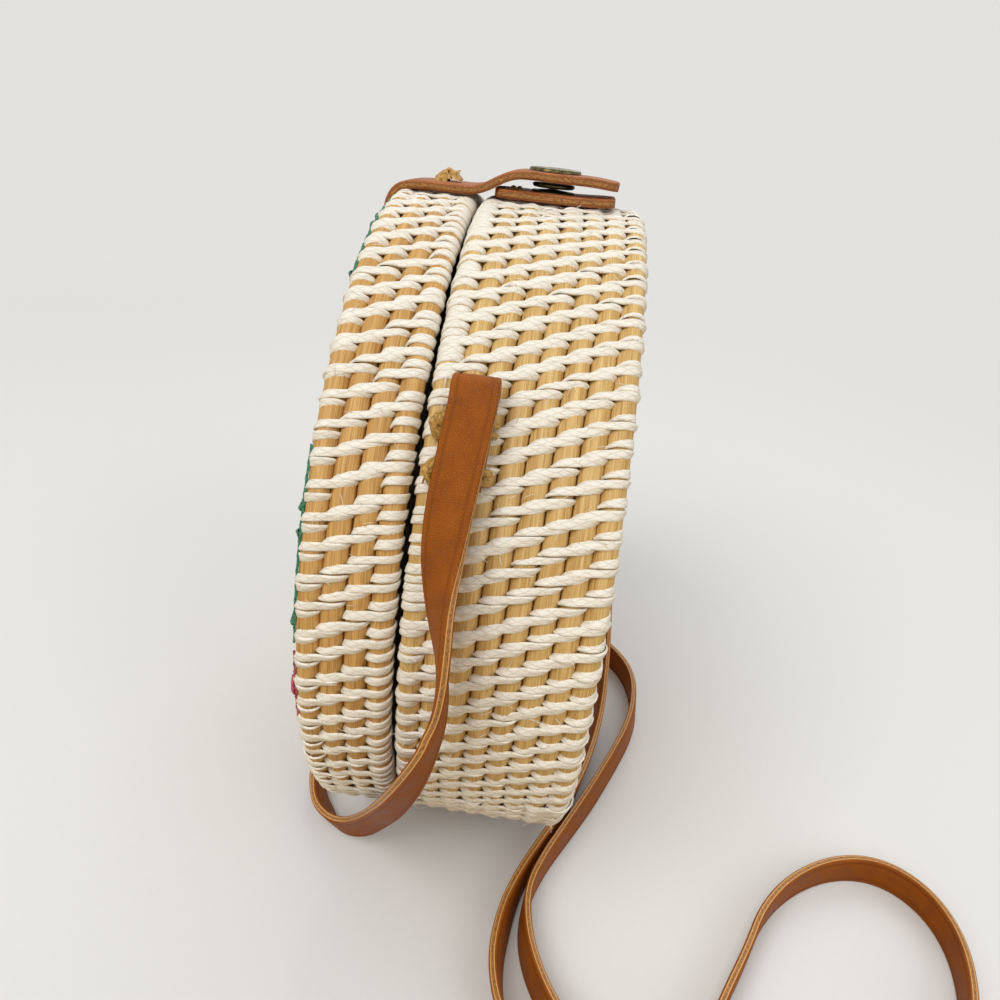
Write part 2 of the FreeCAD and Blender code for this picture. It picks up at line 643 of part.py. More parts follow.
def strap_corner(before, point, after, ways):
    """The stations of one rounded corner of the route, with its radius and its arc length."""
    back, on = before - point, after - point
    reach = ARC_SHARE * min(back.Length, on.Length)
    turn = math.pi - back.getAngle(on)
    radius = reach / math.tan(turn / 2)
    start = point + Vector(back).normalize() * reach
    end = point + Vector(on).normalize() * reach
    bisector = (Vector(back).normalize() + Vector(on).normalize()).normalize()
    centre = point + bisector * math.hypot(reach, radius)
    crown = centre - bisector * radius
    entry = mix(ways[1], ways[0], reach / back.Length)
    leave = mix(ways[1], ways[2], reach / on.Length)
    stations = [Station(start, -back, entry), Station(crown, end - start, ways[1]), Station(end, on, leave)]
    return stations, radius, radius * turn


def strap_stations(stretches):
    """Lists of stations, one per stretch; neighbours share the middle of the run between them."""
    route = [(Vector(*p), Vector(*w), name) for name, points in stretches for p, w in points]
    lists = {name: [] for name, _ in stretches}
    lists[route[0][2]].append(Station(route[0][0], route[1][0] - route[0][0], route[0][1]))
    radii = []
    for (a, way_a, name_a), (b, way_b, name_b), (c, way_c, name_c) in zip(route, route[1:], route[2:]):
        if name_a != name_b:
            shared = Station((a + b) / 2, b - a, (way_a + way_b) / 2)
            lists[name_a].append(shared)
            lists[name_b].append(shared)
        corner, radius, _ = strap_corner(a, b, c, (way_a, way_b, way_c))
        lists[name_b] += corner
        radii.append(radius)
    lists[route[-1][2]].append(Station(route[-1][0], route[-1][0] - route[-2][0], route[-1][1]))
    return lists, radii


strap_width = size("strap_width")
strap_thick = size("strap_thick")
join_gap = size("strap_join_gap")
station_lists, corner_radii = strap_stations(STRAP_STRETCHES)
strap_length = 0.0
for name, stations in station_lists.items():
    outlines = [s.outline(strap_width, strap_thick) for s in stations]
    if name in ("strap_near_drop", "strap_front_run"):
        outlines[0] = stations[0].outline(strap_width, strap_thick, join_gap)
    if name in ("strap_front_run", "strap_far_drop"):
        outlines[-1] = stations[-1].outline(strap_width, strap_thick, -join_gap)
    stretch = doc.addObject("Part::Feature", name)
    stretch.Shape = Part.makeLoft(outlines, True, True)
    piece(stretch, name)
    length = sum((b.middle - a.middle).Length for a, b in zip(stations, stations[1:]))
    strap_length += length
    print(f"{name}: length {length:.0f}, volume {stretch.Shape.Volume:.0f},",
          f"section times length {strap_width * strap_thick * length:.0f}")
print(f"strap: free length {strap_length:.0f}, corner radii", [round(r) for r in corner_radii])


# Embroidery: flat pads of stitching on the crests of the lid's front coil

FLOWER_ANGLES = [-5, 108, 152, 213, 318]
PETAL_TURNS = [0, 72, 144, 216, 288]
LEAN_BACK_LEAVES = [8.5, 24.5, 60, 76, 122, 166, 182, 227, 243, 272, 288]
LEAN_ON_LEAVES = [16.5, 68, 130, 174, 190, 235, 280]
LEAF_LEAN = 24


def on_wreath(angle_deg, radius):
    x, z = polar((0.0, size("outer_radius")), radius, angle_deg)
    return Vector(x, size(LID_FRONT), z)


def leaf_face(middle, angle_deg):
    """A pointed oval: two arcs through the leaf's tips."""
    along = Vector(math.cos(math.radians(angle_deg)), 0, math.sin(math.radians(angle_deg)))
    across = Vector(-along.z, 0, along.x)
    tip = along * (size("leaf_length") / 2)
    belly = across * (size("leaf_width") / 2)
    edges = [Part.Arc(middle - tip, middle + belly, middle + tip).toShape(),
             Part.Arc(middle + tip, middle - belly, middle - tip).toShape()]
    return Part.Face(Part.Wire(edges))


def disc_face(middle, radius):
    return Part.Face(Part.Wire(Part.Circle(middle, Vector(0, 1, 0), radius).toShape()))


def stitched(label, faces):
    """Pads that stand on the lid's front, towards -Y."""
    proud = Vector(0, -size("stitch_pad_thick"), 0)
    pads = doc.addObject("Part::Feature", label + "_pads")
    pads.Shape = Part.makeCompound([face.extrude(proud) for face in faces])
    return piece(pads, label)


leaf_faces = []
for angles, lean in ((LEAN_BACK_LEAVES, -LEAF_LEAN), (LEAN_ON_LEAVES, LEAF_LEAN)):
    leaf_faces += [leaf_face(on_wreath(angle, size("wreath_radius")), angle + lean) for angle in angles]
stitched("embroidery_leaves", leaf_faces)

flower_faces = []
for angle in FLOWER_ANGLES:
    eye = on_wreath(angle, size("wreath_radius"))
    flower_faces.append(disc_face(eye, size("flower_eye_radius")))
    for turn in PETAL_TURNS:
        x, z = polar((eye.x, eye.z), size("petal_ring_radius"), angle + turn)
        flower_faces.append(disc_face(Vector(x, eye.y, z), size("petal_radius")))
stitched("embroidery_flowers", flower_faces)


# Every object and every finished shape is sound before anything is written

doc.recompute()
for obj in doc.Objects:
    if {"Invalid", "Error"} & set(obj.State):
        raise RuntimeError(f"{obj.Label} failed: {obj.State}")
for obj in pieces:
    if obj.Shape.isNull() or not obj.Shape.isValid():
        raise RuntimeError(f"{obj.Label} has no valid shape")

os.makedirs("parts", exist_ok=True)
for obj in pieces:
    obj.Shape.exportStep(f"parts/{obj.Label}.step")
print(f"{len(pieces)} sub-parts written")
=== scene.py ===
"""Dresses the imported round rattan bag: rattan and its binding, leather, brass, cotton and thread."""

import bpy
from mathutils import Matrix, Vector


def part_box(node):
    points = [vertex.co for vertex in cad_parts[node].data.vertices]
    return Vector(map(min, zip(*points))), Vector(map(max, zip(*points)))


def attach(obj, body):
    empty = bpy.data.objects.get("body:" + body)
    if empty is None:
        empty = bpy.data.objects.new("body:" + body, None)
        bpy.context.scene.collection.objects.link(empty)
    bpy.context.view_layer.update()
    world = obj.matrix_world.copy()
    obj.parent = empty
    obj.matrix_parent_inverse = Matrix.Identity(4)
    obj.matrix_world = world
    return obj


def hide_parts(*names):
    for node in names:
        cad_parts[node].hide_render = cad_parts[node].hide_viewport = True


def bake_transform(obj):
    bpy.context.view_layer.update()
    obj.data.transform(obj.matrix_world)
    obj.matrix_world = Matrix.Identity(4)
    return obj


bl_info = {
    "name": "Round Rattan Bag",
    "version": (1, 0, 0),
    "blender": (4, 5, 0),
    "location": "View3D > Sidebar > Rattan Bag",
    "description": "Makes the woven, leather, brass, cotton and thread pieces of a round rattan bag",
    "category": "Add Mesh",
}

import math

import bpy
import numpy as np
from bpy.props import FloatProperty, FloatVectorProperty, IntProperty, PointerProperty
from mathutils import Euler, Vector

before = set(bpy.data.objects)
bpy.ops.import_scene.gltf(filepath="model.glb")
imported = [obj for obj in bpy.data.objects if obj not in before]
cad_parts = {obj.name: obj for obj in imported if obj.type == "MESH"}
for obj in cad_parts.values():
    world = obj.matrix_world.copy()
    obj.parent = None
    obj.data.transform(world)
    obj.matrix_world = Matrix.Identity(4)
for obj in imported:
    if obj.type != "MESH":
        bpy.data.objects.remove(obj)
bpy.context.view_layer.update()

# The bag's round wall as the frame has it
LID_LOW, LID_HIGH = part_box("lid_wall_coil")
BODY_LOW, BODY_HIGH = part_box("body_wall_coil")
OUTER_RADIUS = (BODY_HIGH.z - BODY_LOW.z) / 2
AXIS_Z = (BODY_HIGH.z + BODY_LOW.z) / 2


def linear(hex_colour):
    """An sRGB hex colour as linear red, green, blue and alpha."""
    parts = [int(hex_colour[i:i + 2], 16) / 255 for i in (1, 3, 5)]
    return tuple(p / 12.92 if p <= 0.04045 else ((p + 0.055) / 1.055) ** 2.4 for p in parts) + (1.0,)


def length(name, description, default):
    return FloatProperty(name=name, description=description, default=default, unit="LENGTH", precision=5)


def amount(name, description, default):
    return IntProperty(name=name, description=description, default=default)


def colour(name, description, default):
    return FloatVectorProperty(name=name, description=description, default=linear(default), size=4,
                               subtype="COLOR", min=0.0, max=1.0)


class RattanBagWeave(bpy.types.PropertyGroup):
    """Sizes of the rods and of the strand that binds them"""
    coil_diameter: length("Coil diameter", "Rod with its binding, as the frame has it", 0.0059)
    coil_pitch: length("Coil pitch", "Distance between neighbouring rods", 0.00585)
    rod_radius: length("Rod radius", "Radius of a bare rattan rod", 0.00286)
    strand_width: length("Strand width", "Width of the flat binding strand", 0.0021)
    strand_rise: length("Strand rise", "Height of the strand's crown over the line it follows", 0.00028)
    stitch_pitch: length("Stitch pitch", "Distance between stitches along a rod of the faces", 0.0067)
    stitch_slant: length("Stitch slant", "How far a stitch climbs from its first rod to its last", 0.0021)
    row_shift: FloatProperty(name="Row shift", default=0.44, subtype="FACTOR", min=0.0, max=1.0,
                             description="Climb from one row of stitches to the next, in pitches")
    lid_stitches: amount("Lid stitches", "Stitches in one row round the lid's wall", 90)
    body_stitches: amount("Body stitches", "Stitches in one row round the body's wall", 94)
    loose_fibres: amount("Loose fibres", "Fibre ends that stand off the binding of the walls", 420)


class RattanBagLeather(bpy.types.PropertyGroup):
    """Sizes of the leather pieces"""
    thickness: length("Leather thickness", "Thickness of the straps", 0.0024)
    strap_width: length("Strap width", "Width of the shoulder strap", 0.0105)
    closure_width: length("Closure width", "Width of the closure strap and its tab", 0.020)
    pressed_inset: length("Pressed line inset", "Distance of the pressed line from the edge", 0.0015)
    pressed_depth: length("Pressed line depth", "Depth of the pressed line", 0.00012)
    strap_length: length("Strap length", "Free length of the shoulder strap", 1.3)


class RattanBagColours(bpy.types.PropertyGroup):
    """Colours of the bag's materials"""
    binding: colour("Binding", "Bleached binding strand", "#F2ECDE")
    # Painted shade in the furrows between the strand's fibres
    binding_shade: colour("Binding shade", "Furrows between the strand's fibres", "#CFC6B2")
    rattan_pale: colour("Rattan, pale", "Pale fibres of the body's rods", "#E2BF7C")
    rattan_deep: colour("Rattan, deep", "Brown fibres of the body's rods", "#B58842")
    lid_pale: colour("Lid rattan, pale", "Pale fibres of the lid's rods", "#DBAE66")
    lid_deep: colour("Lid rattan, deep", "Brown fibres of the lid's rods", "#AC7A38")
    leather: colour("Leather", "Grain side of the straps", "#A4580C")
    # Painted shade in the pits and creases of the grain, and also the colour of the pressed line
    leather_pit_shade_and_line: colour("Leather, deep", "Pits and creases of the grain", "#824206")
    edge_pale: colour("Leather edge, pale", "Borders of the strap's cut edge", "#D9A463")
    edge: colour("Leather edge", "Middle of a cut edge", "#B07A3A")
    edge_fleck: colour("Leather edge, deep", "Flecks of a cut edge", "#7D4C1E")
    closure: colour("Closure leather", "Grain side of the closure", "#C0784A")
    brass: colour("Brass", "Worn brass of the snap", "#857A52")
    brass_dark: colour("Brass patina", "Dark patina of the snap", "#3A3424")
    cane: colour("Cane", "Golden cane ties", "#CFA350")
    cane_deep: colour("Cane, deep", "Shaded fibres of the ties", "#8F6526")
    cotton: colour("Cotton", "Lining cloth", "#E6DCC6")
    # Painted shade in the gaps between the lining's threads, and the low end of the cloth's uneven tone
    cotton_shade: colour("Cotton shade", "Gaps between the lining's threads", "#B8AB90")
    green: colour("Green thread", "Embroidered leaves", "#1F7A55")
    red: colour("Red thread", "Embroidered petals", "#A83238")
    crimson: colour("Crimson thread", "Petal tips", "#C43353")
    yellow: colour("Yellow thread", "Flower eyes", "#D9A63A")
    floor: colour("Floor", "Plain studio floor", "#E6E5E1")
    floor_bounce: colour("Floor, bounce", "Tone of the light that the floor throws on the bag", "#9F8038")
    backdrop: colour("Backdrop", "Plain light behind the floor", "#E3E2DF")


# Materials: sizes of patterns are in metres

# Spacing of the bands of a wave texture of scale 1
WAVE_SPACING = 0.314


def add(tree, kind, inputs=None, **settings):
    """Adds a node with its settings; an input that is another node, or an output of one, is linked."""
    node = tree.nodes.new(kind)
    for name, value in settings.items():
        setattr(node, name, value)
    for name, value in (inputs or {}).items():
        if isinstance(value, bpy.types.Node):
            value = value.outputs[0]
        if isinstance(value, bpy.types.NodeSocket):
            tree.links.new(value, node.inputs[name])
        else:
            node.inputs[name].default_value = value
    return node


def calc(tree, operation, *values):
    return add(tree, "ShaderNodeMath", dict(enumerate(values)), operation=operation)


def ramp(tree, value, low=0.0, high=1.0, to_low=0.0, to_high=1.0, **settings):
    """A value between low and high, carried over to between to_low and to_high."""
    return add(tree, "ShaderNodeMapRange", {"Value": value, "From Min": low, "From Max": high,
                                            "To Min": to_low, "To Max": to_high}, **settings)


def mix(tree, share, first, second, **settings):
    """The colour between two colours."""
    blend = add(tree, "ShaderNodeMix", {0: share, 6: first, 7: second}, data_type="RGBA", **settings)
    return blend.outputs[2]


def stretch(tree, uv, along, across, turn=0):
    """Places for a pattern that is this long and this wide, turned by some degrees."""
    return add(tree, "ShaderNodeMapping", {"Vector": uv, "Rotation": (0, 0, math.radians(turn)),
                                           "Scale": (1 / along, 1 / across, 1)})


def noise(tree, place, detail, size=1.0, roughness=0.5, dimensions="2D"):
    return add(tree, "ShaderNodeTexNoise", {"Vector": place, "Scale": 1 / size, "Detail": detail,
                                            "Roughness": roughness}, noise_dimensions=dimensions)


def waves(tree, place, spacing, distortion, detail_scale=1.0, **settings):
    return add(tree, "ShaderNodeTexWave", {"Vector": place, "Scale": WAVE_SPACING / spacing,
                                           "Distortion": distortion, "Detail Scale": detail_scale},
               **settings).outputs["Fac"]


def off_middle(tree, uv):
    """Distance from the middle line of a strip."""
    return calc(tree, "ABSOLUTE", add(tree, "ShaderNodeSeparateXYZ", {"Vector": uv}).outputs["Y"])


def new_finish(name, surface):
    """A material whose surface has these constants, with its node tree and shader."""
    finish = bpy.data.materials.new(name)
    finish.use_nodes = True
    shader = finish.node_tree.nodes["Principled BSDF"]
    for socket, value in surface.items():
        shader.inputs[socket].default_value = value
    return finish, finish.node_tree, shader


def dress(tree, shader, tint, height, strength=0.5, distance=0.0002):
    """Gives a surface its colour and its relief."""
    bump = add(tree, "ShaderNodeBump", {"Height": height, "Strength": strength, "Distance": distance})
    tree.links.new(tint, shader.inputs["Base Color"])
    tree.links.new(bump.outputs[0], shader.inputs["Normal"])


def peeled_rattan(name, pale, deep):
    # Peeled rattan, scraped by hand: fine fibres run along each rod, pale over brown, and the surface is dull
    finish, tree, shader = new_finish(name, {"Roughness": 0.58, "IOR": 1.5})
    uv = add(tree, "ShaderNodeUVMap")
    # Fibres 0.25 mm wide and 14 mm long, and streaks 1.3 mm wide and 40 mm long
    fibres = noise(tree, stretch(tree, uv, 0.014, 0.00025), 4.0, roughness=0.62)
    streaks = noise(tree, stretch(tree, uv, 0.040, 0.0013), 2.0)
    tone = ramp(tree, calc(tree, "MULTIPLY_ADD", streaks, 0.6, fibres), 0.62, 1.04)
    dress(tree, shader, mix(tree, tone, pale, deep), fibres, 0.55)
    return finish


def bleached_strand(name, white, shade):
    # Bleached grass strand: a flat, loosely twisted bundle of fine fibres that cross, with a soft gloss
    finish, tree, shader = new_finish(name, {"Roughness": 0.52, "IOR": 1.5})
    uv = add(tree, "ShaderNodeUVMap")
    # Thin furrows 1.6 mm apart lean 24 degrees to either side, so each kind crosses the strand every 4 mm
    furrows = []
    for turn in (66, 114):
        bundles = waves(tree, stretch(tree, uv, 0.001, 0.001, turn), 1.6, 3.2, 1.2, wave_profile="TRI")
        furrows.append(ramp(tree, bundles, high=0.3, to_low=0.45))
    crossed = calc(tree, "MINIMUM", *furrows)
    # Single fibres 0.25 mm wide and 5 mm long
    fibres = noise(tree, stretch(tree, uv, 0.005, 0.00025), 3.0)
    height = calc(tree, "MULTIPLY_ADD", fibres, 0.9, crossed)
    # Low places, in the furrows, go towards the shade colour: painted shade
    tone = ramp(tree, height, 0.6, 1.4)
    dress(tree, shader, mix(tree, tone, shade, white), height)
    return finish


def pebbled_leather(name, tan, deep, line_place):
    # Tanned cowhide, embossed with fine pebbles and waxed: low gloss, painted shade in the pits, a line pressed
    # by each edge
    finish, tree, shader = new_finish(name, {"Roughness": 0.5, "IOR": 1.5, "Specular IOR Level": 0.2})
    uv = add(tree, "ShaderNodeUVMap")
    # Pebbles 0.55 mm across
    grain = add(tree, "ShaderNodeTexVoronoi", {"Vector": uv, "Scale": 1 / 0.00055},
                voronoi_dimensions="2D", feature="DISTANCE_TO_EDGE")
    pebbles = ramp(tree, grain.outputs["Distance"], high=0.3)
    # Clouds of colour and wear 7 mm across
    clouds = noise(tree, uv, 4.0, 0.007)
    # The pits between the pebbles go towards the deep colour as painted shade; the clouds are the hide's own tone
    tone = ramp(tree, calc(tree, "MULTIPLY_ADD", pebbles, 0.5, clouds), 0.35, 1.05)
    skin = mix(tree, tone, deep, tan)
    wear = ramp(tree, clouds, 0.3, 0.7, 0.42, 0.58)
    tree.links.new(wear.outputs[0], shader.inputs["Roughness"])
    # The pressed line darkens the leather up to 0.6 mm to either side
    away = calc(tree, "ABSOLUTE", calc(tree, "SUBTRACT", off_middle(tree, uv), line_place))
    line = ramp(tree, away, high=0.0006, to_low=0.75, to_high=0.0)
    dress(tree, shader, mix(tree, line, skin, deep), pebbles, 0.8, 0.00013)
    return finish


def cut_leather(name, border, middle, fleck, half_thickness):
    # Cut and burnished leather edge: a flecked brown middle between two lines where the knife left the faces
    finish, tree, shader = new_finish(name, {"Roughness": 0.5, "IOR": 1.5})
    uv = add(tree, "ShaderNodeUVMap")
    line = ramp(tree, off_middle(tree, uv), 0.26 * half_thickness, 0.46 * half_thickness)
    # Flecks 0.9 mm long and 0.35 mm high, leaning 35 degrees
    flecks = noise(tree, stretch(tree, uv, 0.0009, 0.00035, 35), 3.0)
    flecked = mix(tree, ramp(tree, flecks, 0.42, 0.6), middle, fleck)
    dress(tree, shader, mix(tree, line, flecked, border), flecks)
    return finish


def antique_brass(name, bright, dark):
    # Stamped brass with a dark patina that has worn off the high places: satin, never mirror bright
    finish, tree, shader = new_finish(name, {"Metallic": 1.0, "Roughness": 0.4})
    # Patina in spots of 1.5 mm
    spots = noise(tree, add(tree, "ShaderNodeTexCoord").outputs["Object"], 5.0, 0.0015, 0.65, "3D")
    rough = ramp(tree, spots, to_low=0.55, to_high=0.28)
    tree.links.new(rough.outputs[0], shader.inputs["Roughness"])
    dress(tree, shader, mix(tree, ramp(tree, spots, 0.35, 0.68), dark, bright), spots, 0.25, 0.0001)
    return finish


def split_cane(name, gold, deep):
    # Split cane: the glossy outer skin of rattan, golden with brown fibres
    finish, tree, shader = new_finish(name, {"Roughness": 0.42, "IOR": 1.5})
    # Fibres and stains 0.6 mm across
    stains = noise(tree, add(tree, "ShaderNodeTexCoord").outputs["Object"], 4.0, 0.0006, 0.6, "3D")
    dress(tree, shader, mix(tree, ramp(tree, stains, 0.36, 0.66), gold, deep), stains)
    return finish


def woven_cotton(name, ecru, shade):
    # Plain woven cotton: a matte grid of threads, drawn 0.9 mm apart so that it shows in the picture
    finish, tree, shader = new_finish(name, {"Roughness": 0.85, "IOR": 1.45, "Sheen Weight": 0.2})
    uv = add(tree, "ShaderNodeUVMap")
    threads = [waves(tree, uv, 0.0009, 0.6, 0.3, bands_direction=way) for way in ("X", "Y")]
    height = calc(tree, "MAXIMUM", *threads)
    # Slubs 4 mm across
    slubs = noise(tree, uv, 3.0, 0.004)
    # The gaps between the threads go towards the shade colour as painted shade; the slubs are the cloth's own
    # uneven tone
    tone = ramp(tree, calc(tree, "MULTIPLY_ADD", slubs, 0.6, height), 0.3, 1.3, 0.72)
    dress(tree, shader, mix(tree, tone, shade, ecru), height)
    return finish


def twisted_thread(name, dyed):
    # Embroidery cotton: two plies twisted together, lightly glossy, so a slanting line shows on each thread
    finish, tree, shader = new_finish(name, {"Roughness": 0.45, "IOR": 1.5, "Sheen Weight": 0.3})
    # One twist every 1.2 mm; the furrow between the plies is painted shade, about a third as bright
    plies = waves(tree, stretch(tree, add(tree, "ShaderNodeUVMap"), 1.0, 1.0, 35), 0.0012, 0.5)
    tone = ramp(tree, plies, to_low=0.55)
    shade = tuple(0.35 * part for part in dyed[:3]) + (1.0,)
    dress(tree, shader, mix(tree, tone, shade, dyed), plies)
    return finish


# Meshes

class Strips:
    """Collects grids of points into one mesh, each with its own UV and material slot."""

    def __init__(self):
        self.points = []
        self.uvs = []
        self.faces = []
        self.slots = []
        self.count = 0

    def add(self, points, uvs, slot=0):
        """Adds one grid or a stack, of shape (..., rows, columns, 3); faces look along rows x columns."""
        rows, columns = points.shape[-3:-1]
        index = np.arange(rows * columns).reshape(rows, columns)
        quads = np.stack([index[:-1, :-1], index[1:, :-1], index[1:, 1:], index[:-1, 1:]], -1).reshape(-1, 4)
        grids = points.size // (3 * rows * columns)
        starts = self.count + rows * columns * np.arange(grids)
        self.points.append(points.reshape(-1, 3))
        self.uvs.append(np.broadcast_to(uvs, points.shape[:-1] + (2,)).reshape(-1, 2))
        self.faces.append((starts[:, None, None] + quads).reshape(-1, 4))
        self.slots.append(np.full(grids * len(quads), slot))
        self.count += grids * rows * columns

    def piece(self, name, *materials):
        """The mesh as an object of the scene."""
        points = np.concatenate(self.points)
        faces = np.concatenate(self.faces)
        uvs = np.concatenate(self.uvs)
        mesh = bpy.data.meshes.new(name)
        mesh.vertices.add(len(points))
        mesh.vertices.foreach_set("co", points.ravel())
        mesh.loops.add(faces.size)
        mesh.loops.foreach_set("vertex_index", faces.ravel())
        mesh.polygons.add(len(faces))
        mesh.polygons.foreach_set("loop_start", 4 * np.arange(len(faces)))
        mesh.polygons.foreach_set("material_index", np.concatenate(self.slots))
        mesh.update(calc_edges=True)
        mesh.uv_layers.new(name="UVMap").data.foreach_set("uv", uvs[faces.ravel()].ravel())
        mesh.shade_smooth()
        for material in materials:
            mesh.materials.append(material)
        obj = bpy.data.objects.new(name, mesh)
        bpy.context.scene.collection.objects.link(obj)
        return obj


def unit(vectors):
    return vectors / np.maximum(np.linalg.norm(vectors, axis=-1, keepdims=True), 1e-12)


def run(points):
    """Distance along a line of points."""
    steps = np.linalg.norm(np.diff(points, axis=-2), axis=-1)
    return np.concatenate([np.zeros(steps.shape[:-1] + (1,)), np.cumsum(steps, axis=-1)], -1)


def smooth_line(points, resolution):
    """Points along a NURBS spline that has these control points."""
    curve = bpy.data.curves.new("route", "CURVE")
    curve.dimensions = "3D"
    spline = curve.splines.new("NURBS")
    spline.points.add(len(points) - 1)
    for knot, point in zip(spline.points, points):
        knot.co = (*point, 1.0)
    spline.order_u = 3
    spline.use_endpoint_u = True
    spline.resolution_u = resolution
    obj = bpy.data.objects.new("route", curve)
    bpy.context.scene.collection.objects.link(obj)
    mesh = bpy.data.meshes.new_from_object(obj)
    line = np.array([v.co for v in mesh.vertices], float)
    bpy.data.objects.remove(obj)
    bpy.data.curves.remove(curve)
    bpy.data.meshes.remove(mesh)
    return line


def ribbon(strips, line, out, half_width, crown, slot=0, start=0.0, columns=7):
    """A half-round band along a line; out is its upper side, and half_width may change along it."""
    line = np.asarray(line, float)
    ahead = unit(np.gradient(line, axis=0))
    out = np.broadcast_to(np.asarray(out, float), line.shape)
    side = unit(np.cross(out, ahead))
    up = np.cross(ahead, side)
    across = np.linspace(-1, 1, columns)
    rise = crown * (np.sqrt(np.maximum(1 - across ** 2, 0)) - 0.5)
    widths = np.broadcast_to(np.asarray(half_width, float), len(line))
    points = (line[:, None] + side[:, None] * (widths[:, None] * across)[..., None]
              + up[:, None] * rise[None, :, None])
    uvs = np.stack(np.broadcast_arrays((start + run(line))[:, None], widths[:, None] * across), -1)
    strips.add(points, uvs, slot)


# Cross-section of a strap: the share of its half thickness that its corners are rounded by, half the width
# of a pressed line, and how far its faces and its cut edges swell
CORNER_SHARE = 0.42
LINE_HALF_WIDTH = 0.0003
FACE_SWELL = 0.00005
EDGE_SWELL = 0.00008


def leather_strip(strips, line, across, width, sizes, rounded=0.0, open_ends=False):
    """A flat strap along a line: grain faces with pressed lines (slot 0) and cut edges (slot 1)."""
    line = np.asarray(line, float)
    ahead = unit(np.gradient(line, axis=0))
    across = np.broadcast_to(np.asarray(across, float), line.shape)
    side = unit(across - ahead * np.sum(across * ahead, axis=1, keepdims=True))
    face = np.cross(ahead, side)
    along = run(line)
    half = sizes.thickness / 2
    corner = CORNER_SHARE * half
    place = width / 2 - sizes.pressed_inset
    ladder = [(width / 2, half - corner),
              (width / 2 - 0.3 * corner, half - 0.35 * corner),
              (width / 2 - corner, half - 0.03 * corner),
              (place + LINE_HALF_WIDTH, half),
              (place, half - sizes.pressed_depth),
              (place - LINE_HALF_WIDTH, half),
              (0.4 * place, half + 0.8 * FACE_SWELL)]
    v = np.array([-p for p, _ in ladder] + [0.0] + [p for p, _ in ladder[::-1]])
    h = np.array([q for _, q in ladder] + [half + FACE_SWELL] + [q for _, q in ladder[::-1]])
    edge_h = np.linspace(half - corner, corner - half, 5)
    edge_v = width / 2 + EDGE_SWELL * (1 - (edge_h / half) ** 2)
    narrow = np.ones((len(line), 1, 1))
    if rounded:
        # Towards its ends the strap narrows along a quarter circle
        inside = np.maximum(rounded - np.minimum(along, along[-1] - along), 0)
        trim = rounded - np.sqrt(rounded ** 2 - inside ** 2)
        narrow = (1 - trim / (width / 2))[:, None, None]

    def points(v, h):
        return line[:, None] + side[:, None] * v[None, :, None] * narrow + face[:, None] * h[None, :, None]

    def uvs(values):
        return np.stack(np.broadcast_arrays(along[:, None], values[None]), -1)

    for sign in (1, -1):
        strips.add(points(sign * v, sign * h), uvs(v), 0)
    for sign in (1, -1):
        strips.add(points(sign * edge_v, sign * edge_h), uvs(edge_h), 1)
    if not open_ends:
        for row, sign in ((0, -1), (-1, 1)):
            layers = np.stack([points(v, sign * h)[row], points(v, -sign * h)[row]])
            heights = np.stack([sign * h, -sign * h])
            strips.add(layers, np.stack(np.broadcast_arrays(v[None], heights), -1), 1)


def turned(strips, profile, centre, segments=64):
    """A piece turned about the Z axis, its profile of (radius, height) running from the middle outwards."""
    profile = np.asarray(profile, float)
    angles = np.linspace(0, 2 * math.pi, segments + 1)
    ring = np.stack([np.cos(angles), np.sin(angles), np.zeros_like(angles)], -1)
    rise = np.array([0, 0, 1.0]) * profile[:, None, 1:]
    points = profile[:, None, :1] * ring[None] + rise + np.asarray(centre)
    # The unrolled width is that of a ring 5 mm in radius
    uvs = np.stack(np.broadcast_arrays(run(profile)[:, None], (angles * 0.005)[None]), -1)
    strips.add(points, uvs)


def settle(obj, body, slot, *nodes):
    """The piece rides on a body and stands for these nodes; its slot is not used."""
    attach(obj, body)
    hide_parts(*nodes)


# Woven halves

# Degrees by which a rim stitch goes on under its rod, and by which other stitches stop short of the next row
RIM_TUCK = 50
BITE = 15
# How far each rim rod keeps back from the parting line
RIM_GAP = 0.00014
# Single wraps on the rim rod: pitches from the last row of stitches, and the share of stitches that have one
RIM_WRAPS = {"lid": ((0.5, 1.0),), "body": ((-0.38, 1.0), (-0.72, 0.35))}
# Slant of a single wrap and twist of a rim stitch, as shares of those of other stitches
WRAP_SLANT = 0.6
RIM_TWIST = 0.4
# Place of one stitch on each half, seen on the wall: its row and its angle from +X towards +Z
STITCH_PLACES = {"lid": (1, 35.2), "body": (3, 33.1)}
SEEDS = {"lid": 11, "body": 23}
# Spread of handwork: places of stitches along a rod, their slant as a share of it, their height and width
PLACE_SPREAD = {"lid": 0.00034, "body": 0.00022}
SLANT_SPREAD = 0.7
HEIGHT_SPREAD = 0.00012
WIDTH_SPREAD = 0.09
# Where a stitch begins it hooks back by this much, over this share of its length; between two rods it sags
HOOK = 0.0006
HOOK_SHARE = 0.2
STRAND_SAG = 0.00025
# Twist in radians and share of the full width along a stitch
TWIST = ([0, 0.2, 0.45, 0.75, 1], [1.0, 0.55, 0.06, -0.4, -0.8])
TAPER = ([0, 0.12, 0.3, 0.7, 0.88, 1], [0.85, 0.96, 1.02, 1.0, 0.94, 0.82])
# Cross-section of a strand: places across in half widths, and heights in strand rises
SECTION_ACROSS = np.array([-0.97, -1, -0.94, -0.5, 0, 0.5, 0.94, 1, 0.97])
SECTION_RISE = np.array([-1.2, -0.1, 0.7, 0.95, 1, 0.95, 0.7, -0.1, -1.2])
# A rod swells and thins in these waves per turn, each up to this high
ROD_WAVES = (3, 5, 9, 14)
ROD_WAVE_HEIGHT = 0.00003
ROD_STEP = 0.003
# Rods in the walls of both halves, over which the loose fibres are spread
WALL_RODS = 12
FIBRE_HALF_WIDTH = 0.00007
FIBRE_CROWN = 0.00012


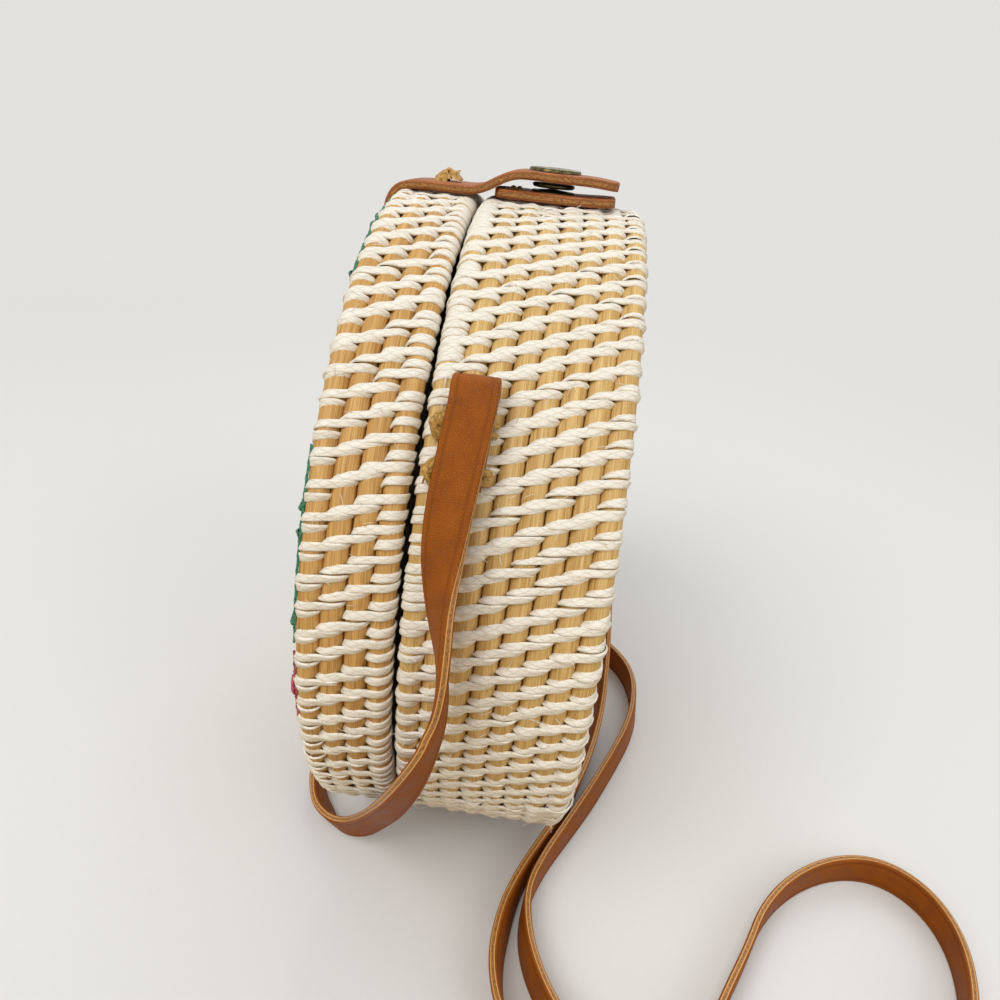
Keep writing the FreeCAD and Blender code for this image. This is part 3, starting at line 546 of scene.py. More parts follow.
def coil_rods(half, weave):
    """Rod middles of a half as (radius, y), in the order of binding, and how many are on its face."""
    low, high = (LID_LOW, LID_HIGH) if half == "lid" else (BODY_LOW, BODY_HIGH)
    sink = weave.rod_radius + 0.5 * weave.strand_rise + weave.strand_rise - weave.coil_diameter / 2
    radius = OUTER_RADIUS - weave.coil_diameter / 2
    turns = round((high.y - low.y - weave.coil_diameter) / weave.coil_pitch) + 1
    places = [low.y + weave.coil_diameter / 2 + i * weave.coil_pitch for i in range(turns)]
    corner, rim, inwards = (0, -1, 1) if half == "lid" else (-1, 0, -1)
    places[corner] += inwards * sink
    places[rim] -= inwards * RIM_GAP
    wall = [(radius - sink, y) for y in places]
    on_face = int(radius / weave.coil_pitch - 0.5)
    face = [(radius - sink - k * weave.coil_pitch, places[corner]) for k in range(1, on_face + 1)]
    return (face[::-1] + wall if half == "lid" else wall + face), on_face


def lay_rod(strips, radius, y, weave, rng):
    """One turn of rattan, slightly uneven along its length."""
    segments = max(24, round(2 * math.pi * radius / ROD_STEP))
    angles = np.linspace(0, 2 * math.pi, segments + 1)
    round_it = np.linspace(2 * math.pi, 0, 15)
    wave = sum(rng.uniform(-1, 1) * np.sin(k * angles + rng.uniform(0, 6.3)) for k in ROD_WAVES)
    thick = weave.rod_radius + ROD_WAVE_HEIGHT * wave[:, None]
    out = radius + thick * np.sin(round_it)
    points = np.stack([out * np.cos(angles)[:, None], y - thick * np.cos(round_it),
                       AXIS_Z + out * np.sin(angles)[:, None]], -1)
    along = angles * radius + rng.uniform(0, 5)
    uvs = np.stack(np.broadcast_arrays(along[:, None], (weave.rod_radius * round_it)[None]), -1)
    strips.add(points, uvs, 0)


def wrap_line(first, last, start, over, end, hold):
    """A strand's way over one or two rods, in (radius, y), with its outward directions."""
    def directions(*span):
        angles = np.radians(np.linspace(*span))
        return np.stack([np.sin(angles), -np.cos(angles)], -1)

    if first == last:
        up = directions(start, end, 15)
        return np.array(first) + hold * up, up
    before = directions(start, over, 8)
    after = directions(over, end, 8)
    near = np.array(first) + hold * before
    far = np.array(last) + hold * after
    low = (near[-1] + far[0]) / 2 - STRAND_SAG * before[-1]
    return np.concatenate([near, [low], far]), np.concatenate([before, before[-1:], after])


def lay_stitches(strips, way, angles, climb, twisting, uneven, weave, rng):
    """A row of stitches round the bag, each along the same way over the rods."""
    line, up = way
    count = len(angles)
    t = run(line) / run(line)[-1]
    bulge = HEIGHT_SPREAD * rng.normal(size=(count, 1))[..., None]
    climbs = climb + uneven * SLANT_SPREAD * rng.normal(size=(count, 1))
    hook = HOOK * np.maximum(0, 1 - t / HOOK_SHARE) ** 2
    lift = climbs * (t - 0.5) - hook + uneven * rng.normal(size=(count, 1))
    theta = np.asarray(angles)[:, None] + lift / np.maximum(line[:, 0], 0.004)
    out = np.stack([np.cos(theta), np.zeros_like(theta), np.sin(theta)], -1)
    axle = np.array([0, 1.0, 0])
    normal = up[:, 0, None] * out + up[:, 1, None] * axle
    middle = line[:, 0, None] * out + line[:, 1, None] * axle + np.array([0, 0, AXIS_Z]) + bulge * normal
    ahead = unit(np.gradient(middle, axis=1))
    level = unit(np.cross(normal, ahead))
    # The strand twists as it goes: its first half faces up along the rod, its last half down
    twist = twisting * np.interp(t, *TWIST)[:, None]
    side = level * np.cos(twist) - normal * np.sin(twist)
    normal = normal * np.cos(twist) + level * np.sin(twist)
    rise = weave.strand_rise * SECTION_RISE
    half = weave.strand_width / 2 * np.interp(t, *TAPER) * (1 + WIDTH_SPREAD * rng.normal(size=(count, 1)))
    across = half[..., None] * SECTION_ACROSS
    points = middle[:, :, None] + side[:, :, None] * across[..., None] + normal[:, :, None] * rise[:, None]
    along = run(middle) + rng.uniform(0, 9, size=(count, 1))
    strips.add(points, np.stack(np.broadcast_arrays(along[..., None], across), -1), 1)


def lay_loose_fibres(strips, rods, weave, fibres, rng):
    """Short fibre ends that stand off the binding, each as thin as a hair."""
    for _ in range(fibres):
        radius, y = rods[rng.integers(len(rods))]
        theta = rng.uniform(0, 2 * math.pi)
        out = np.array([math.cos(theta), 0, math.sin(theta)])
        turn = np.array([-out[2], 0, out[0]])
        foot = out * (radius + weave.rod_radius + weave.strand_rise) + np.array([0, y, AXIS_Z])
        reach = rng.uniform(0.0018, 0.0042)
        lean = unit(out * rng.uniform(0.25, 0.9) + turn * rng.normal() + np.array([0, 1.0, 0]) * rng.normal())
        curl = 0.35 * unit(turn * rng.normal() - out * 0.8)
        t = np.linspace(0, 1, 6)[:, None]
        hair = foot + reach * (lean * t + curl * t ** 2)
        # None goes into the floor
        if hair[:, 2].min() >= 0:
            up = unit(np.cross(lean, turn + 0.3 * out))
            ribbon(strips, hair, up, FIBRE_HALF_WIDTH * (1 - 0.7 * t[:, 0]), FIBRE_CROWN, 1, columns=4)


def weave_half(half, weave, rattan, binding):
    """All rods of one half with the strand that binds them, as one mesh."""
    is_lid = half == "lid"
    rng = np.random.default_rng(SEEDS[half])
    strips = Strips()
    rods, on_face = coil_rods(half, weave)
    for radius, y in rods:
        lay_rod(strips, radius, y, weave, rng)
    facing = [math.degrees(math.atan2(b[1] - a[1], b[0] - a[0])) for a, b in zip(rods, rods[1:])]
    last_row = len(facing) - 1
    hold = weave.rod_radius + 0.5 * weave.strand_rise
    on_wall = weave.lid_stitches if is_lid else weave.body_stitches
    corner = on_face if is_lid else len(rods) - on_face - 1
    row_0, angle_0 = STITCH_PLACES[half]
    row_0 += on_face if is_lid else 0
    rows = [(row, (row - row_0) * weave.row_shift, 1.0) for row in range(len(facing))]
    edge, rim_row = (-1, len(facing)) if is_lid else (0, -1)
    rows += [(rim_row, rows[edge][1] + shift, share) for shift, share in RIM_WRAPS[half]]
    for row, shift, share in rows:
        first = rods[max(row, 0)]
        last = rods[min(row + 1, len(rods) - 1)]
        start = facing[max(row - 1, 0)] - 90 + BITE
        end = facing[min(row + 1, last_row)] + 90 - BITE
        at_rim = row >= last_row if is_lid else row <= 0
        if at_rim and is_lid:
            end = facing[-1] + 90 + RIM_TUCK
        elif at_rim:
            start = facing[0] - 90 - RIM_TUCK
        way = wrap_line(first, last, start, facing[min(max(row, 0), last_row)], end, hold)
        flat = row < corner - 1 if is_lid else row > corner
        around = math.pi * (first[0] + last[0])
        count = max(5, round(around / weave.stitch_pitch)) if flat else on_wall
        spacing = 2 * math.pi / count
        angles = math.radians(angle_0) + spacing * (shift + np.flatnonzero(rng.random(count) <= share))
        climb = weave.stitch_slant * (WRAP_SLANT if first == last else 1.0)
        twisting = RIM_TWIST if at_rim else 1.0
        lay_stitches(strips, way, angles, climb, twisting, PLACE_SPREAD[half], weave, rng)
    wall_rods = rods[on_face:] if is_lid else rods[:-on_face]
    lay_loose_fibres(strips, wall_rods, weave, weave.loose_fibres * len(wall_rods) // WALL_RODS, rng)
    return strips.piece(half + "_weave", rattan, binding)


class RATTANBAG_OT_weave(bpy.types.Operator):
    """Lays the rattan rods of the lid and the body and binds them with the white strand"""
    bl_idname = "rattan_bag.weave"
    bl_label = "Weave lid and body"

    def execute(self, context):
        weave = context.scene.rattan_bag_weave
        colours = context.scene.rattan_bag_colours
        binding = bleached_strand("bleached grass strand", colours.binding, colours.binding_shade)
        for half, pale, deep in (("lid", colours.lid_pale, colours.lid_deep),
                                 ("body", colours.rattan_pale, colours.rattan_deep)):
            rattan = peeled_rattan(f"peeled rattan, {half}", pale, deep)
            settle(weave_half(half, weave, rattan, binding), half, "woven_rattan",
                   half + "_wall_coil", half + "_face_coil")
        return {"FINISHED"}


# Lining

# Distance of the cloth from the outer faces of its CAD cup
LINING_CLEAR = 0.0004
# The hem is folded 7 mm deep: places below the rim and steps inwards
HEM_DEPTHS = [0, 0.0003, 0.0064, 0.0068, 0.0074]
HEM_STEPS = [0.0002, 0.0007, 0.0007, 0.0004, 0.0001]
# The wall has a round foot: places over the floor and steps inwards
FOOT_HEIGHTS = [0.0016, 0.0004, 0]
FOOT_STEPS = [0.0004, 0.0014, 0.0034]
WALL_RINGS = 8


class RATTANBAG_OT_lining(bpy.types.Operator):
    """Sews the cotton linings of the two halves"""
    bl_idname = "rattan_bag.lining"
    bl_label = "Sew the linings"

    def execute(self, context):
        colours = context.scene.rattan_bag_colours
        cotton = woven_cotton("plain woven cotton", colours.cotton, colours.cotton_shade)
        for half, side in (("lid", -1), ("body", 1)):
            low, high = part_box(half + "_lining")
            rim, floor = (high.y, low.y) if side < 0 else (low.y, high.y)
            floor -= side * LINING_CLEAR
            radius = (high.x - low.x) / 2 - LINING_CLEAR
            angles = np.linspace(0, 2 * math.pi, 241)
            depth = abs(floor - rim)
            wall = np.linspace(0.009, depth - 0.004, WALL_RINGS)
            down = np.array(HEM_DEPTHS + list(wall) + [depth - height for height in FOOT_HEIGHTS])
            inwards = np.array(HEM_STEPS + [0.0] * WALL_RINGS + FOOT_STEPS)
            # The wall is slightly gathered, most of all at the rim, and the floor lies flat
            gathers = 0.00022 * np.sin(47 * angles + 2.2 * np.sin(5 * angles)) + 0.00012 * np.sin(83 * angles)
            calm = np.clip((depth - down) / depth, 0, 1)[:, None]
            ring = radius - inwards[:, None] - np.abs(gathers)[None] * calm
            spokes = np.linspace(ring[-1].mean(), 0.0004, 14)[1:]
            ring = np.concatenate([ring, np.repeat(spokes[:, None], len(angles), 1)])
            sag = 0.0002 * np.sin(np.linspace(0, 9, len(spokes)))
            places = np.concatenate([rim + side * down, floor - side * np.abs(sag)])
            points = np.stack([ring * np.cos(angles), np.repeat(places[:, None], len(angles), 1),
                               AXIS_Z + ring * np.sin(angles)], -1)
            along = np.repeat((angles * radius)[None], len(ring), 0)
            deep = np.repeat(np.concatenate([down, depth + (radius - spokes)])[:, None], len(angles), 1)
            uvs = np.stack([along, deep], -1)
            uvs[len(down):] = points[len(down):][..., [0, 2]]
            strips = Strips()
            strips.add(points[::-side], uvs[::-side])
            cloth = strips.piece(half + "_lining_cloth", cotton)
            settle(cloth, half, "lining_cotton", half + "_lining")
        return {"FINISHED"}


# Shoulder strap: the middle of the strip and the direction of its width, which turns as the strap twists

FLAT_ALONG_Y = (0, 1, 0)
ON_EDGE = (0, 0, 1)
FLOOR = 0.0054
STRAP_ROUTE = [
    ((0.0856, 0.0014, 0.1631), FLAT_ALONG_Y),
    ((0.0932, 0.0003, 0.1515), (0.15, 1, 0)),
    ((0.0994, -0.0005, 0.1395), (0.31, 0.94, 0.13)),
    ((0.1042, -0.0001, 0.1275), (0.73, 0.61, 0.3)),
    ((0.1072, 0.0018, 0.116), (0.92, 0.34, 0.18)),
    ((0.1078, 0.0026, 0.107), (1, 0.12, -0.05)),
    ((0.1072, 0.0024, 0.0986), (0.97, -0.12, -0.2)),
    ((0.1087, 0.0013, 0.0912), (0.9, -0.4, -0.2)),
    ((0.1043, -0.0045, 0.0706), (0.6, -0.8, 0)),
    ((0.0885, -0.0127, 0.0436), (0.3, -0.9, 0.2)),
    ((0.0757, -0.0187, 0.0252), (0.3, -0.8, 0.4)),
    ((0.0674, -0.0256, 0.011), (0.2, -0.7, 0.7)),
    ((0.0646, -0.0317, FLOOR + 0.0018), (0.2, -0.6, 0.8)),
    ((0.0611, -0.0368, FLOOR + 0.0009), (0.2, -0.5, 0.8)),
    ((0.056, -0.0406, FLOOR + 0.0005), (0.2, -0.6, 0.8)),
    ((0.0484, -0.0447, FLOOR + 0.0003), (0, -0.4, 0.9)),
    ((0.0362, -0.0479, FLOOR + 0.0001), (0, -0.2, 1)),
    ((0.017, -0.0474, FLOOR), ON_EDGE),
    ((-0.006, -0.0476, FLOOR), ON_EDGE),
    ((-0.029, -0.045, FLOOR), ON_EDGE),
    ((-0.047, -0.039, FLOOR), ON_EDGE),
    ((-0.059, -0.0305, FLOOR), ON_EDGE),
    ((-0.067, -0.019, FLOOR), ON_EDGE),
    ((-0.072, -0.003, FLOOR), ON_EDGE),
    ((-0.0735, 0.016, FLOOR), ON_EDGE),
    ((-0.071, 0.035, FLOOR), ON_EDGE),
    ((-0.063, 0.051, FLOOR), ON_EDGE),
    ((-0.051, 0.063, FLOOR), ON_EDGE),
    ((-0.036, 0.07, FLOOR), ON_EDGE),
    ((-0.018, 0.0706, FLOOR), (0, -0.15, 1)),
    ((-0.001, 0.0668, FLOOR), (0.1, -0.2, 1)),
    ((0.017, 0.0594, FLOOR), (0.1, -0.2, 1)),
    ((0.035, 0.0514, FLOOR), (0.1, -0.2, 1)),
    ((0.051, 0.0432, FLOOR), (0.05, -0.1, 1)),
    ((0.0655, 0.0356, FLOOR), ON_EDGE),
    ((0.079, 0.0308, FLOOR), ON_EDGE),
    ((0.093, 0.0314, FLOOR), (0, 0.15, 1)),
    ((0.106, 0.0364, FLOOR), (0, 0.15, 1)),
    ((0.1175, 0.045, FLOOR), ON_EDGE),
    ((0.1235, 0.0575, FLOOR), ON_EDGE),
    ((0.1225, 0.071, FLOOR), ON_EDGE),
    ((0.114, 0.0808, FLOOR), ON_EDGE),
    ((0.101, 0.088, FLOOR), ON_EDGE),
    ((0.087, 0.0966, FLOOR), ON_EDGE),
    ((0.0725, 0.1042, FLOOR), ON_EDGE),
    ((0.06, 0.1156, FLOOR), ON_EDGE),
    ((0.0505, 0.1305, FLOOR), ON_EDGE),
    ((0.0472, 0.1448, FLOOR), ON_EDGE),
    ((0.0506, 0.1558, FLOOR), ON_EDGE),
    ((0.06, 0.1632, FLOOR), ON_EDGE),
    ((0.0735, 0.165, FLOOR), ON_EDGE),
    ((0.0895, 0.1612, FLOOR), ON_EDGE),
    ((0.1045, 0.153, FLOOR), ON_EDGE),
    ((0.1178, 0.1408, FLOOR), ON_EDGE),
    ((0.128, 0.1256, FLOOR), ON_EDGE),
    ((0.135, 0.1082, FLOOR), ON_EDGE),
    ((0.1376, 0.0886, FLOOR), ON_EDGE),
    ((0.1364, 0.066, FLOOR), ON_EDGE),
    ((0.131, 0.0435, FLOOR), ON_EDGE),
    ((0.119, 0.028, FLOOR), (0, -0.2, 1)),
    ((0.103, 0.0234, FLOOR), (0, -0.3, 1)),
    ((0.0875, 0.0246, FLOOR), (0, -0.3, 1)),
    ((0.0735, 0.0282, FLOOR), (0, -0.1, 1)),
    ((0.0585, 0.035, FLOOR), ON_EDGE),
    ((0.0435, 0.0423, FLOOR), ON_EDGE),
    ((0.0275, 0.0472, FLOOR), (0, 0.2, 1)),
    ((0.0105, 0.0512, FLOOR + 0.0004), (0, 0.3, 1)),
    ((-0.007, 0.0544, FLOOR + 0.0026), (0, 0.3, 1)),
    ((-0.025, 0.0554, FLOOR + 0.0094), (0, 0.3, 1)),
    ((-0.042, 0.0548, FLOOR + 0.022), (0.1, 0.3, 1)),
    ((-0.058, 0.0536, FLOOR + 0.037), (0.3, 0.3, 1)),
    ((-0.074, 0.0514, FLOOR + 0.0486), (0.5, 0.35, 1)),
    ((-0.0905, 0.0485, FLOOR + 0.0576), (0.75, 0.55, 0.8)),
    ((-0.1035, 0.0415, FLOOR + 0.0676), (0.7, 0.85, 0.5)),
    ((-0.11, 0.0295, FLOOR + 0.0796), (0.45, 1, 0.4)),
    ((-0.1105, 0.016, FLOOR + 0.0936), (0.2, 1, 0.3)),
    ((-0.108, 0.007, FLOOR + 0.1086), (0.05, 1, 0.15)),
    ((-0.104, 0.0028, FLOOR + 0.1226), FLAT_ALONG_Y),
    ((-0.0986, 0.0014, FLOOR + 0.1346), FLAT_ALONG_Y),
    ((-0.0928, 0.0014, FLOOR + 0.1456), FLAT_ALONG_Y),
    ((-0.0856, 0.0014, FLOOR + 0.1577), FLAT_ALONG_Y),
]

# Angles on the wall where a strap end begins, folds over and leaves the wall, the gap under it, and how far
# its tied layer leans towards the parting line, under the layer that hangs down
STRAP_END_ANGLE = 27.3
STRAP_FOLD_ANGLE = 39.2
STRAP_EXIT_ANGLE = 36.2
STRAP_GAP = 0.00015
STRAP_LEAN = 0.0013
# Points of a smooth line between two points of its route
LINE_STEPS = 8


def arc(angles):
    """Points at these angles on a circle of radius 1."""
    return np.stack([np.cos(angles), np.sin(angles)], -1)


def strap_end_line(side, sizes):
    """Middle of a folded strap end: up along the wall, over the fold and down again."""
    low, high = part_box("strap_near_end" if side > 0 else "strap_far_end")
    tied = OUTER_RADIUS + STRAP_GAP + sizes.thickness / 2
    pivot = tied + sizes.thickness
    hanging = pivot + sizes.thickness
    fold = math.radians(STRAP_FOLD_ANGLE)
    up = np.radians(np.linspace(STRAP_END_ANGLE, STRAP_FOLD_ANGLE, 16))
    over = fold + np.linspace(math.pi, 0, 12)[1:-1]
    down = np.radians(np.linspace(STRAP_FOLD_ANGLE, STRAP_EXIT_ANGLE, 6))
    bend = pivot * arc(fold) + sizes.thickness * arc(over)
    flat = np.concatenate([tied * arc(up), bend, hanging * arc(down)])
    lean = np.interp(np.arange(len(flat)), [0, len(up)], [-STRAP_LEAN, 0])
    line = np.stack([side * flat[:, 0], (low.y + high.y) / 2 + lean, AXIS_Z + flat[:, 1]], -1)
    return line if side > 0 else line[::-1]


class RATTANBAG_OT_strap(bpy.types.Operator):
    """Lays the shoulder strap along its route and folds its two ends"""
    bl_idname = "rattan_bag.strap"
    bl_label = "Lay the shoulder strap"

    def execute(self, context):
        sizes = context.scene.rattan_bag_leather
        colours = context.scene.rattan_bag_colours
        place = sizes.strap_width / 2 - sizes.pressed_inset
        leather = pebbled_leather("pebbled cowhide, strap", colours.leather, colours.leather_pit_shade_and_line, place)
        edge = cut_leather("cut cowhide, strap", colours.edge_pale, colours.edge, colours.edge_fleck,
                           sizes.thickness / 2)
        middle = smooth_line([point for point, _ in STRAP_ROUTE], LINE_STEPS)
        beside = smooth_line([np.add(point, np.multiply(0.01, unit(np.array(way, float))))
                              for point, way in STRAP_ROUTE], LINE_STEPS)
        strips = Strips()
        leather_strip(strips, middle, beside - middle, sizes.strap_width, sizes, open_ends=True)
        strap = strips.piece("shoulder_strap", leather, edge)
        settle(strap, "body", "tan_leather", "strap_near_drop", "strap_front_run", "strap_back_run", "strap_loop",
               "strap_far_drop")
        for end, side in (("near", 1), ("far", -1)):
            strips = Strips()
            leather_strip(strips, strap_end_line(side, sizes), FLAT_ALONG_Y, sizes.strap_width, sizes)
            fold = strips.piece(f"strap_{end}_fold", leather, edge)
            settle(fold, "body", "tan_leather", f"strap_{end}_end")
        return {"FINISHED"}


# Closure: middles of the closure strap and of its tab as (y, z)

CLOSURE_LINE = [(-0.0356, 0.1731), (-0.0357, 0.182), (-0.0361, 0.1905), (-0.0358, 0.1966), (-0.0328, 0.2006),
                (-0.0270, 0.2013), (-0.0215, 0.2013), (-0.0165, 0.2013), (-0.0125, 0.2013), (-0.0088, 0.2022),
                (-0.0045, 0.2049), (-0.0002, 0.2067), (0.0045, 0.2069), (0.0105, 0.2068), (0.0165, 0.2068),
                (0.0225, 0.2068), (0.0290, 0.2062)]
TAB_LINE = [(-0.0057, 0.20138), (0.001, 0.20138), (0.0105, 0.20145), (0.019, 0.20142), (0.0286, 0.2020)]
CLOSURE_ROUNDING = 0.0035


class RATTANBAG_OT_closure(bpy.types.Operator):
    """Lays the leather closure over the lid's edge, and its tab on the body"""
    bl_idname = "rattan_bag.closure"
    bl_label = "Lay the closure"

    def execute(self, context):
        sizes = context.scene.rattan_bag_leather
        colours = context.scene.rattan_bag_colours
        width = sizes.closure_width
        leather = pebbled_leather("pebbled cowhide, closure", colours.closure, colours.leather_pit_shade_and_line,
                                  width / 2 - sizes.pressed_inset)
        edge = cut_leather("cut cowhide, closure", colours.edge_fleck, colours.edge, colours.edge_fleck,
                           sizes.thickness / 2)

        def piece(name, places):
            line = smooth_line([(0, y, z) for y, z in places], LINE_STEPS)
            strips = Strips()
            leather_strip(strips, line, (-1, 0, 0), width, sizes, rounded=CLOSURE_ROUNDING)
            return strips.piece(name, leather, edge)

        strap = piece("closure_strap", CLOSURE_LINE)
        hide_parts("closure_base", "closure_flap")
        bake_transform(strap)
        settle(piece("closure_tab_leather", TAB_LINE), "body", "tan_leather", "closure_tab")
        return {"FINISHED"}


class RATTANBAG_OT_snap(bpy.types.Operator):
    """Turns the three brass pieces of the press stud"""
    bl_idname = "rattan_bag.snap"
    bl_label = "Turn the press stud"

    def execute(self, context):
        colours = context.scene.rattan_bag_colours
        brass = antique_brass("antique brass", colours.brass, colours.brass_dark)
        low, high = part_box("snap_cap")
        radius = (high.x - low.x) / 2
        centre = ((low.x + high.x) / 2, (low.y + high.y) / 2, 0)
        rim = high.z - 0.0017
        # Profiles of (radius, height): the cap has a ring pressed into it, and the socket is open below
        cap = [(0.0, high.z), (0.4 * radius, high.z - 0.00003), (0.68 * radius, high.z - 0.00012),
               (0.78 * radius, high.z - 0.00022), (0.81 * radius, high.z - 0.00032),
               (0.84 * radius, high.z - 0.00022), (0.92 * radius, high.z - 0.00024),
               (0.97 * radius, high.z - 0.0004), (0.995 * radius, high.z - 0.0007), (radius, rim + 0.0005),
               (0.985 * radius, rim + 0.0001), (0.9 * radius, rim), (0.3 * radius, rim)]
        under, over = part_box("snap_socket")
        socket = [(0.0, over.z - 0.0002), (0.0058, over.z - 0.0002), (0.0061, over.z - 0.0004),
                  (0.0062, under.z + 0.0006), (0.0057, under.z + 0.0001), (0.005, under.z),
                  (0.0036, under.z + 0.0001), (0.0032, under.z + 0.0004), (0.003, under.z + 0.0009),
                  (0.0, under.z + 0.0009)]
        foot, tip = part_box("snap_stud")
        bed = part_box("closure_tab")[1].z
        stud = [(0.0, tip.z), (0.0017, tip.z - 0.00003), (0.0022, tip.z - 0.00016), (0.0023, tip.z - 0.0003),
                (0.0022, under.z - 0.0004), (0.0036, under.z - 0.0005), (0.0048, under.z - 0.0008),
                (0.006, bed + 0.0006), (0.0066, bed + 0.0003), (0.00675, bed + 0.0001),
                (0.0066, bed - 0.0001), (0.001, foot.z + 0.0015)]
        for name, profile, body, node in (("snap_cap_dome", cap, "closure_flap", "snap_cap"),
                                          ("snap_socket_ring", socket, "closure_flap", "snap_socket"),
                                          ("snap_stud_post", stud, "body", "snap_stud")):
            strips = Strips()
            turned(strips, profile, centre)
            settle(strips.piece(name, brass), body, "antique_brass", node)
        return {"FINISHED"}


# Cane ties

BAND_WIDTH = 0.0017
BAND_CROWN = 0.0006
BAND_SINK = 0.0024
BAND_BOW = 0.0003
# Height of a band's middle over the leather
BAND_LIFT = 0.0003
# How far a strap band reaches past the leather on either side, and how much less on the parting line's side
BAND_OVERHANG = 0.0008
BAND_SHORTER = 0.0006
# Angles of the strap's ties on the wall
TIE_ANGLES = (("upper", 34.9), ("lower", 28.9))
# Strips of a knot: how far each is turned in the knot's plane, in radians, its reach and its height
KNOT_STRIPS = [(-0.5, 1.0, 0.62), (-0.2, 1.15, 0.85), (0.1, 1.2, 1.0), (0.35, 1.1, 0.78), (0.65, 0.95, 0.6),
               (1.35, 0.6, 1.08), (1.8, 0.6, 1.12)]
KNOT_HALF_WIDTH = 0.0009
KNOT_CROWN = 0.0007
KNOT_ENDS = 3
KNOT_END_SIZE = 0.0004


def tie_knot(strips, middle, out, along, size, height, rng):
    """A knot of split cane: bent strips laid over one another along its length, drawn in by two across."""
    beside = np.cross(out, along)
    t = np.linspace(-1, 1, 13)[:, None]
    for turn, reach, level in KNOT_STRIPS:
        ahead = along * math.cos(turn) + beside * math.sin(turn)
        lift = height * level * (1 - np.abs(t) ** rng.uniform(1.3, 2.2))
        line = middle + ahead * t * size * reach + out * lift + beside * size * 0.1 * rng.normal()
        up = unit(out * (1.15 - t ** 2) + ahead * t)
        ribbon(strips, line, up, KNOT_HALF_WIDTH * rng.uniform(0.8, 1.15), KNOT_CROWN)
    s = np.linspace(0, 1, 6)[:, None]
    for _ in range(KNOT_ENDS):
        lean = unit(along * rng.normal() + 0.5 * beside * rng.normal() + out * 0.5)
        line = middle + lean * s * size * rng.uniform(0.8, 1.2) + out * height * (0.5 - 0.3 * s ** 2)
        up = unit(np.cross(lean, beside) + 0.6 * out)
        ribbon(strips, line, up, KNOT_END_SIZE * (1.2 - 0.6 * s[:, 0]), KNOT_END_SIZE)


def tie_bands(strips, ends, out, spread):
    """Two strips of cane, side by side over the leather, that turn down into the rods at both ends."""
    for shift in (-spread, spread):
        first, last = (end + shift for end in ends)
        ahead = unit(last - first)
        t = np.linspace(0, 1, 9)[:, None]
        flat = first + (last - first) * t + out * BAND_BOW * np.sin(math.pi * t)
        line = np.concatenate([[first - out * BAND_SINK - ahead * 0.0002],
                               [first - out * 0.4 * BAND_SINK - ahead * 0.0004], flat,
                               [last - out * 0.4 * BAND_SINK + ahead * 0.0004],
                               [last - out * BAND_SINK + ahead * 0.0002]])
        up = np.concatenate([[-ahead, -ahead], np.repeat(out[None], len(t), 0), [ahead, ahead]])
        ribbon(strips, line, up, BAND_WIDTH / 2, BAND_CROWN)


class RATTANBAG_OT_ties(bpy.types.Operator):
    """Ties the leather down with split cane, and gives the cane hinge its finish"""
    bl_idname = "rattan_bag.ties"
    bl_label = "Tie the leather"

    def execute(self, context):
        colours = context.scene.rattan_bag_colours
        cane = split_cane("split cane", colours.cane, colours.cane_deep)
        rng = np.random.default_rng(5)
        self.tie_strap(context.scene.rattan_bag_leather, cane, rng)
        self.tie_closure(cane, rng)
        for name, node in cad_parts.items():
            if name.startswith("hinge_"):
                node.data.materials.clear()
                node.data.materials.append(cane)
        return {"FINISHED"}

    def tie_strap(self, sizes, cane, rng):
        low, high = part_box("strap_near_end")
        strap_y = (low.y + high.y) / 2
        half = sizes.strap_width / 2 + BAND_OVERHANG
        top = OUTER_RADIUS + STRAP_GAP + sizes.thickness + BAND_LIFT
        for end, side in (("near", 1), ("far", -1)):
            for which, angle in TIE_ANGLES:
                turn = math.radians(angle)
                out = np.array([side * math.cos(turn), 0, math.sin(turn)])
                middle = out * top + np.array([0, strap_y, AXIS_Z])
                rise = np.cross(out, (0, 1.0, 0)) * side
                strips = Strips()
                ends = [middle + np.array([0, y, 0]) for y in (-half, half - BAND_SHORTER)]
                tie_bands(strips, ends, out, rise * 0.0011)
                knot = middle - np.array([0, half + 0.0008, 0]) - out * 0.0016
                tie_knot(strips, knot, unit(out - np.array([0, 0.9, 0])), rise, 0.0027, 0.0027, rng)
                tie = strips.piece(f"strap_{end}_cane_{which}", cane)
                settle(tie, "body", "cane", f"strap_{end}_tie_{which}")

    def tie_closure(self, cane, rng):
        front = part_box("closure_base")[0].y - BAND_LIFT
        tab_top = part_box("closure_tab")[1].z
        for name, node, body, out, level in (
                ("closure_cane", "closure_tie", "lid", (0, 0, 1.0), tab_top + 2 * BAND_LIFT),
                ("closure_front_cane", "closure_front_tie", "lid", (0, -1.0, 0), front),
                ("closure_tab_cane", "closure_tab_tie", "body", (0, 0, 1.0), tab_top + BAND_LIFT)):
            low, high = (np.array(corner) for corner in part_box(node))
            out = np.array(out)
            middle = np.where(out, level, (low + high) / 2)
            reach = np.array([(high[0] - low[0]) / 2 - 0.0004, 0, 0])
            strips = Strips()
            tie_bands(strips, [middle - reach, middle + reach], out, np.cross(out, (1.0, 0, 0)) * 0.0009)
            if name == "closure_cane":
                knot = middle + np.array([0, 0.0018, 0])
                tie_knot(strips, knot, out, np.array(FLAT_ALONG_Y, float), 0.0033, 0.0025, rng)
            settle(strips.piece(name, cane), body, "cane", node)


# Embroidery: angles on the lid's front in degrees from +X towards +Z

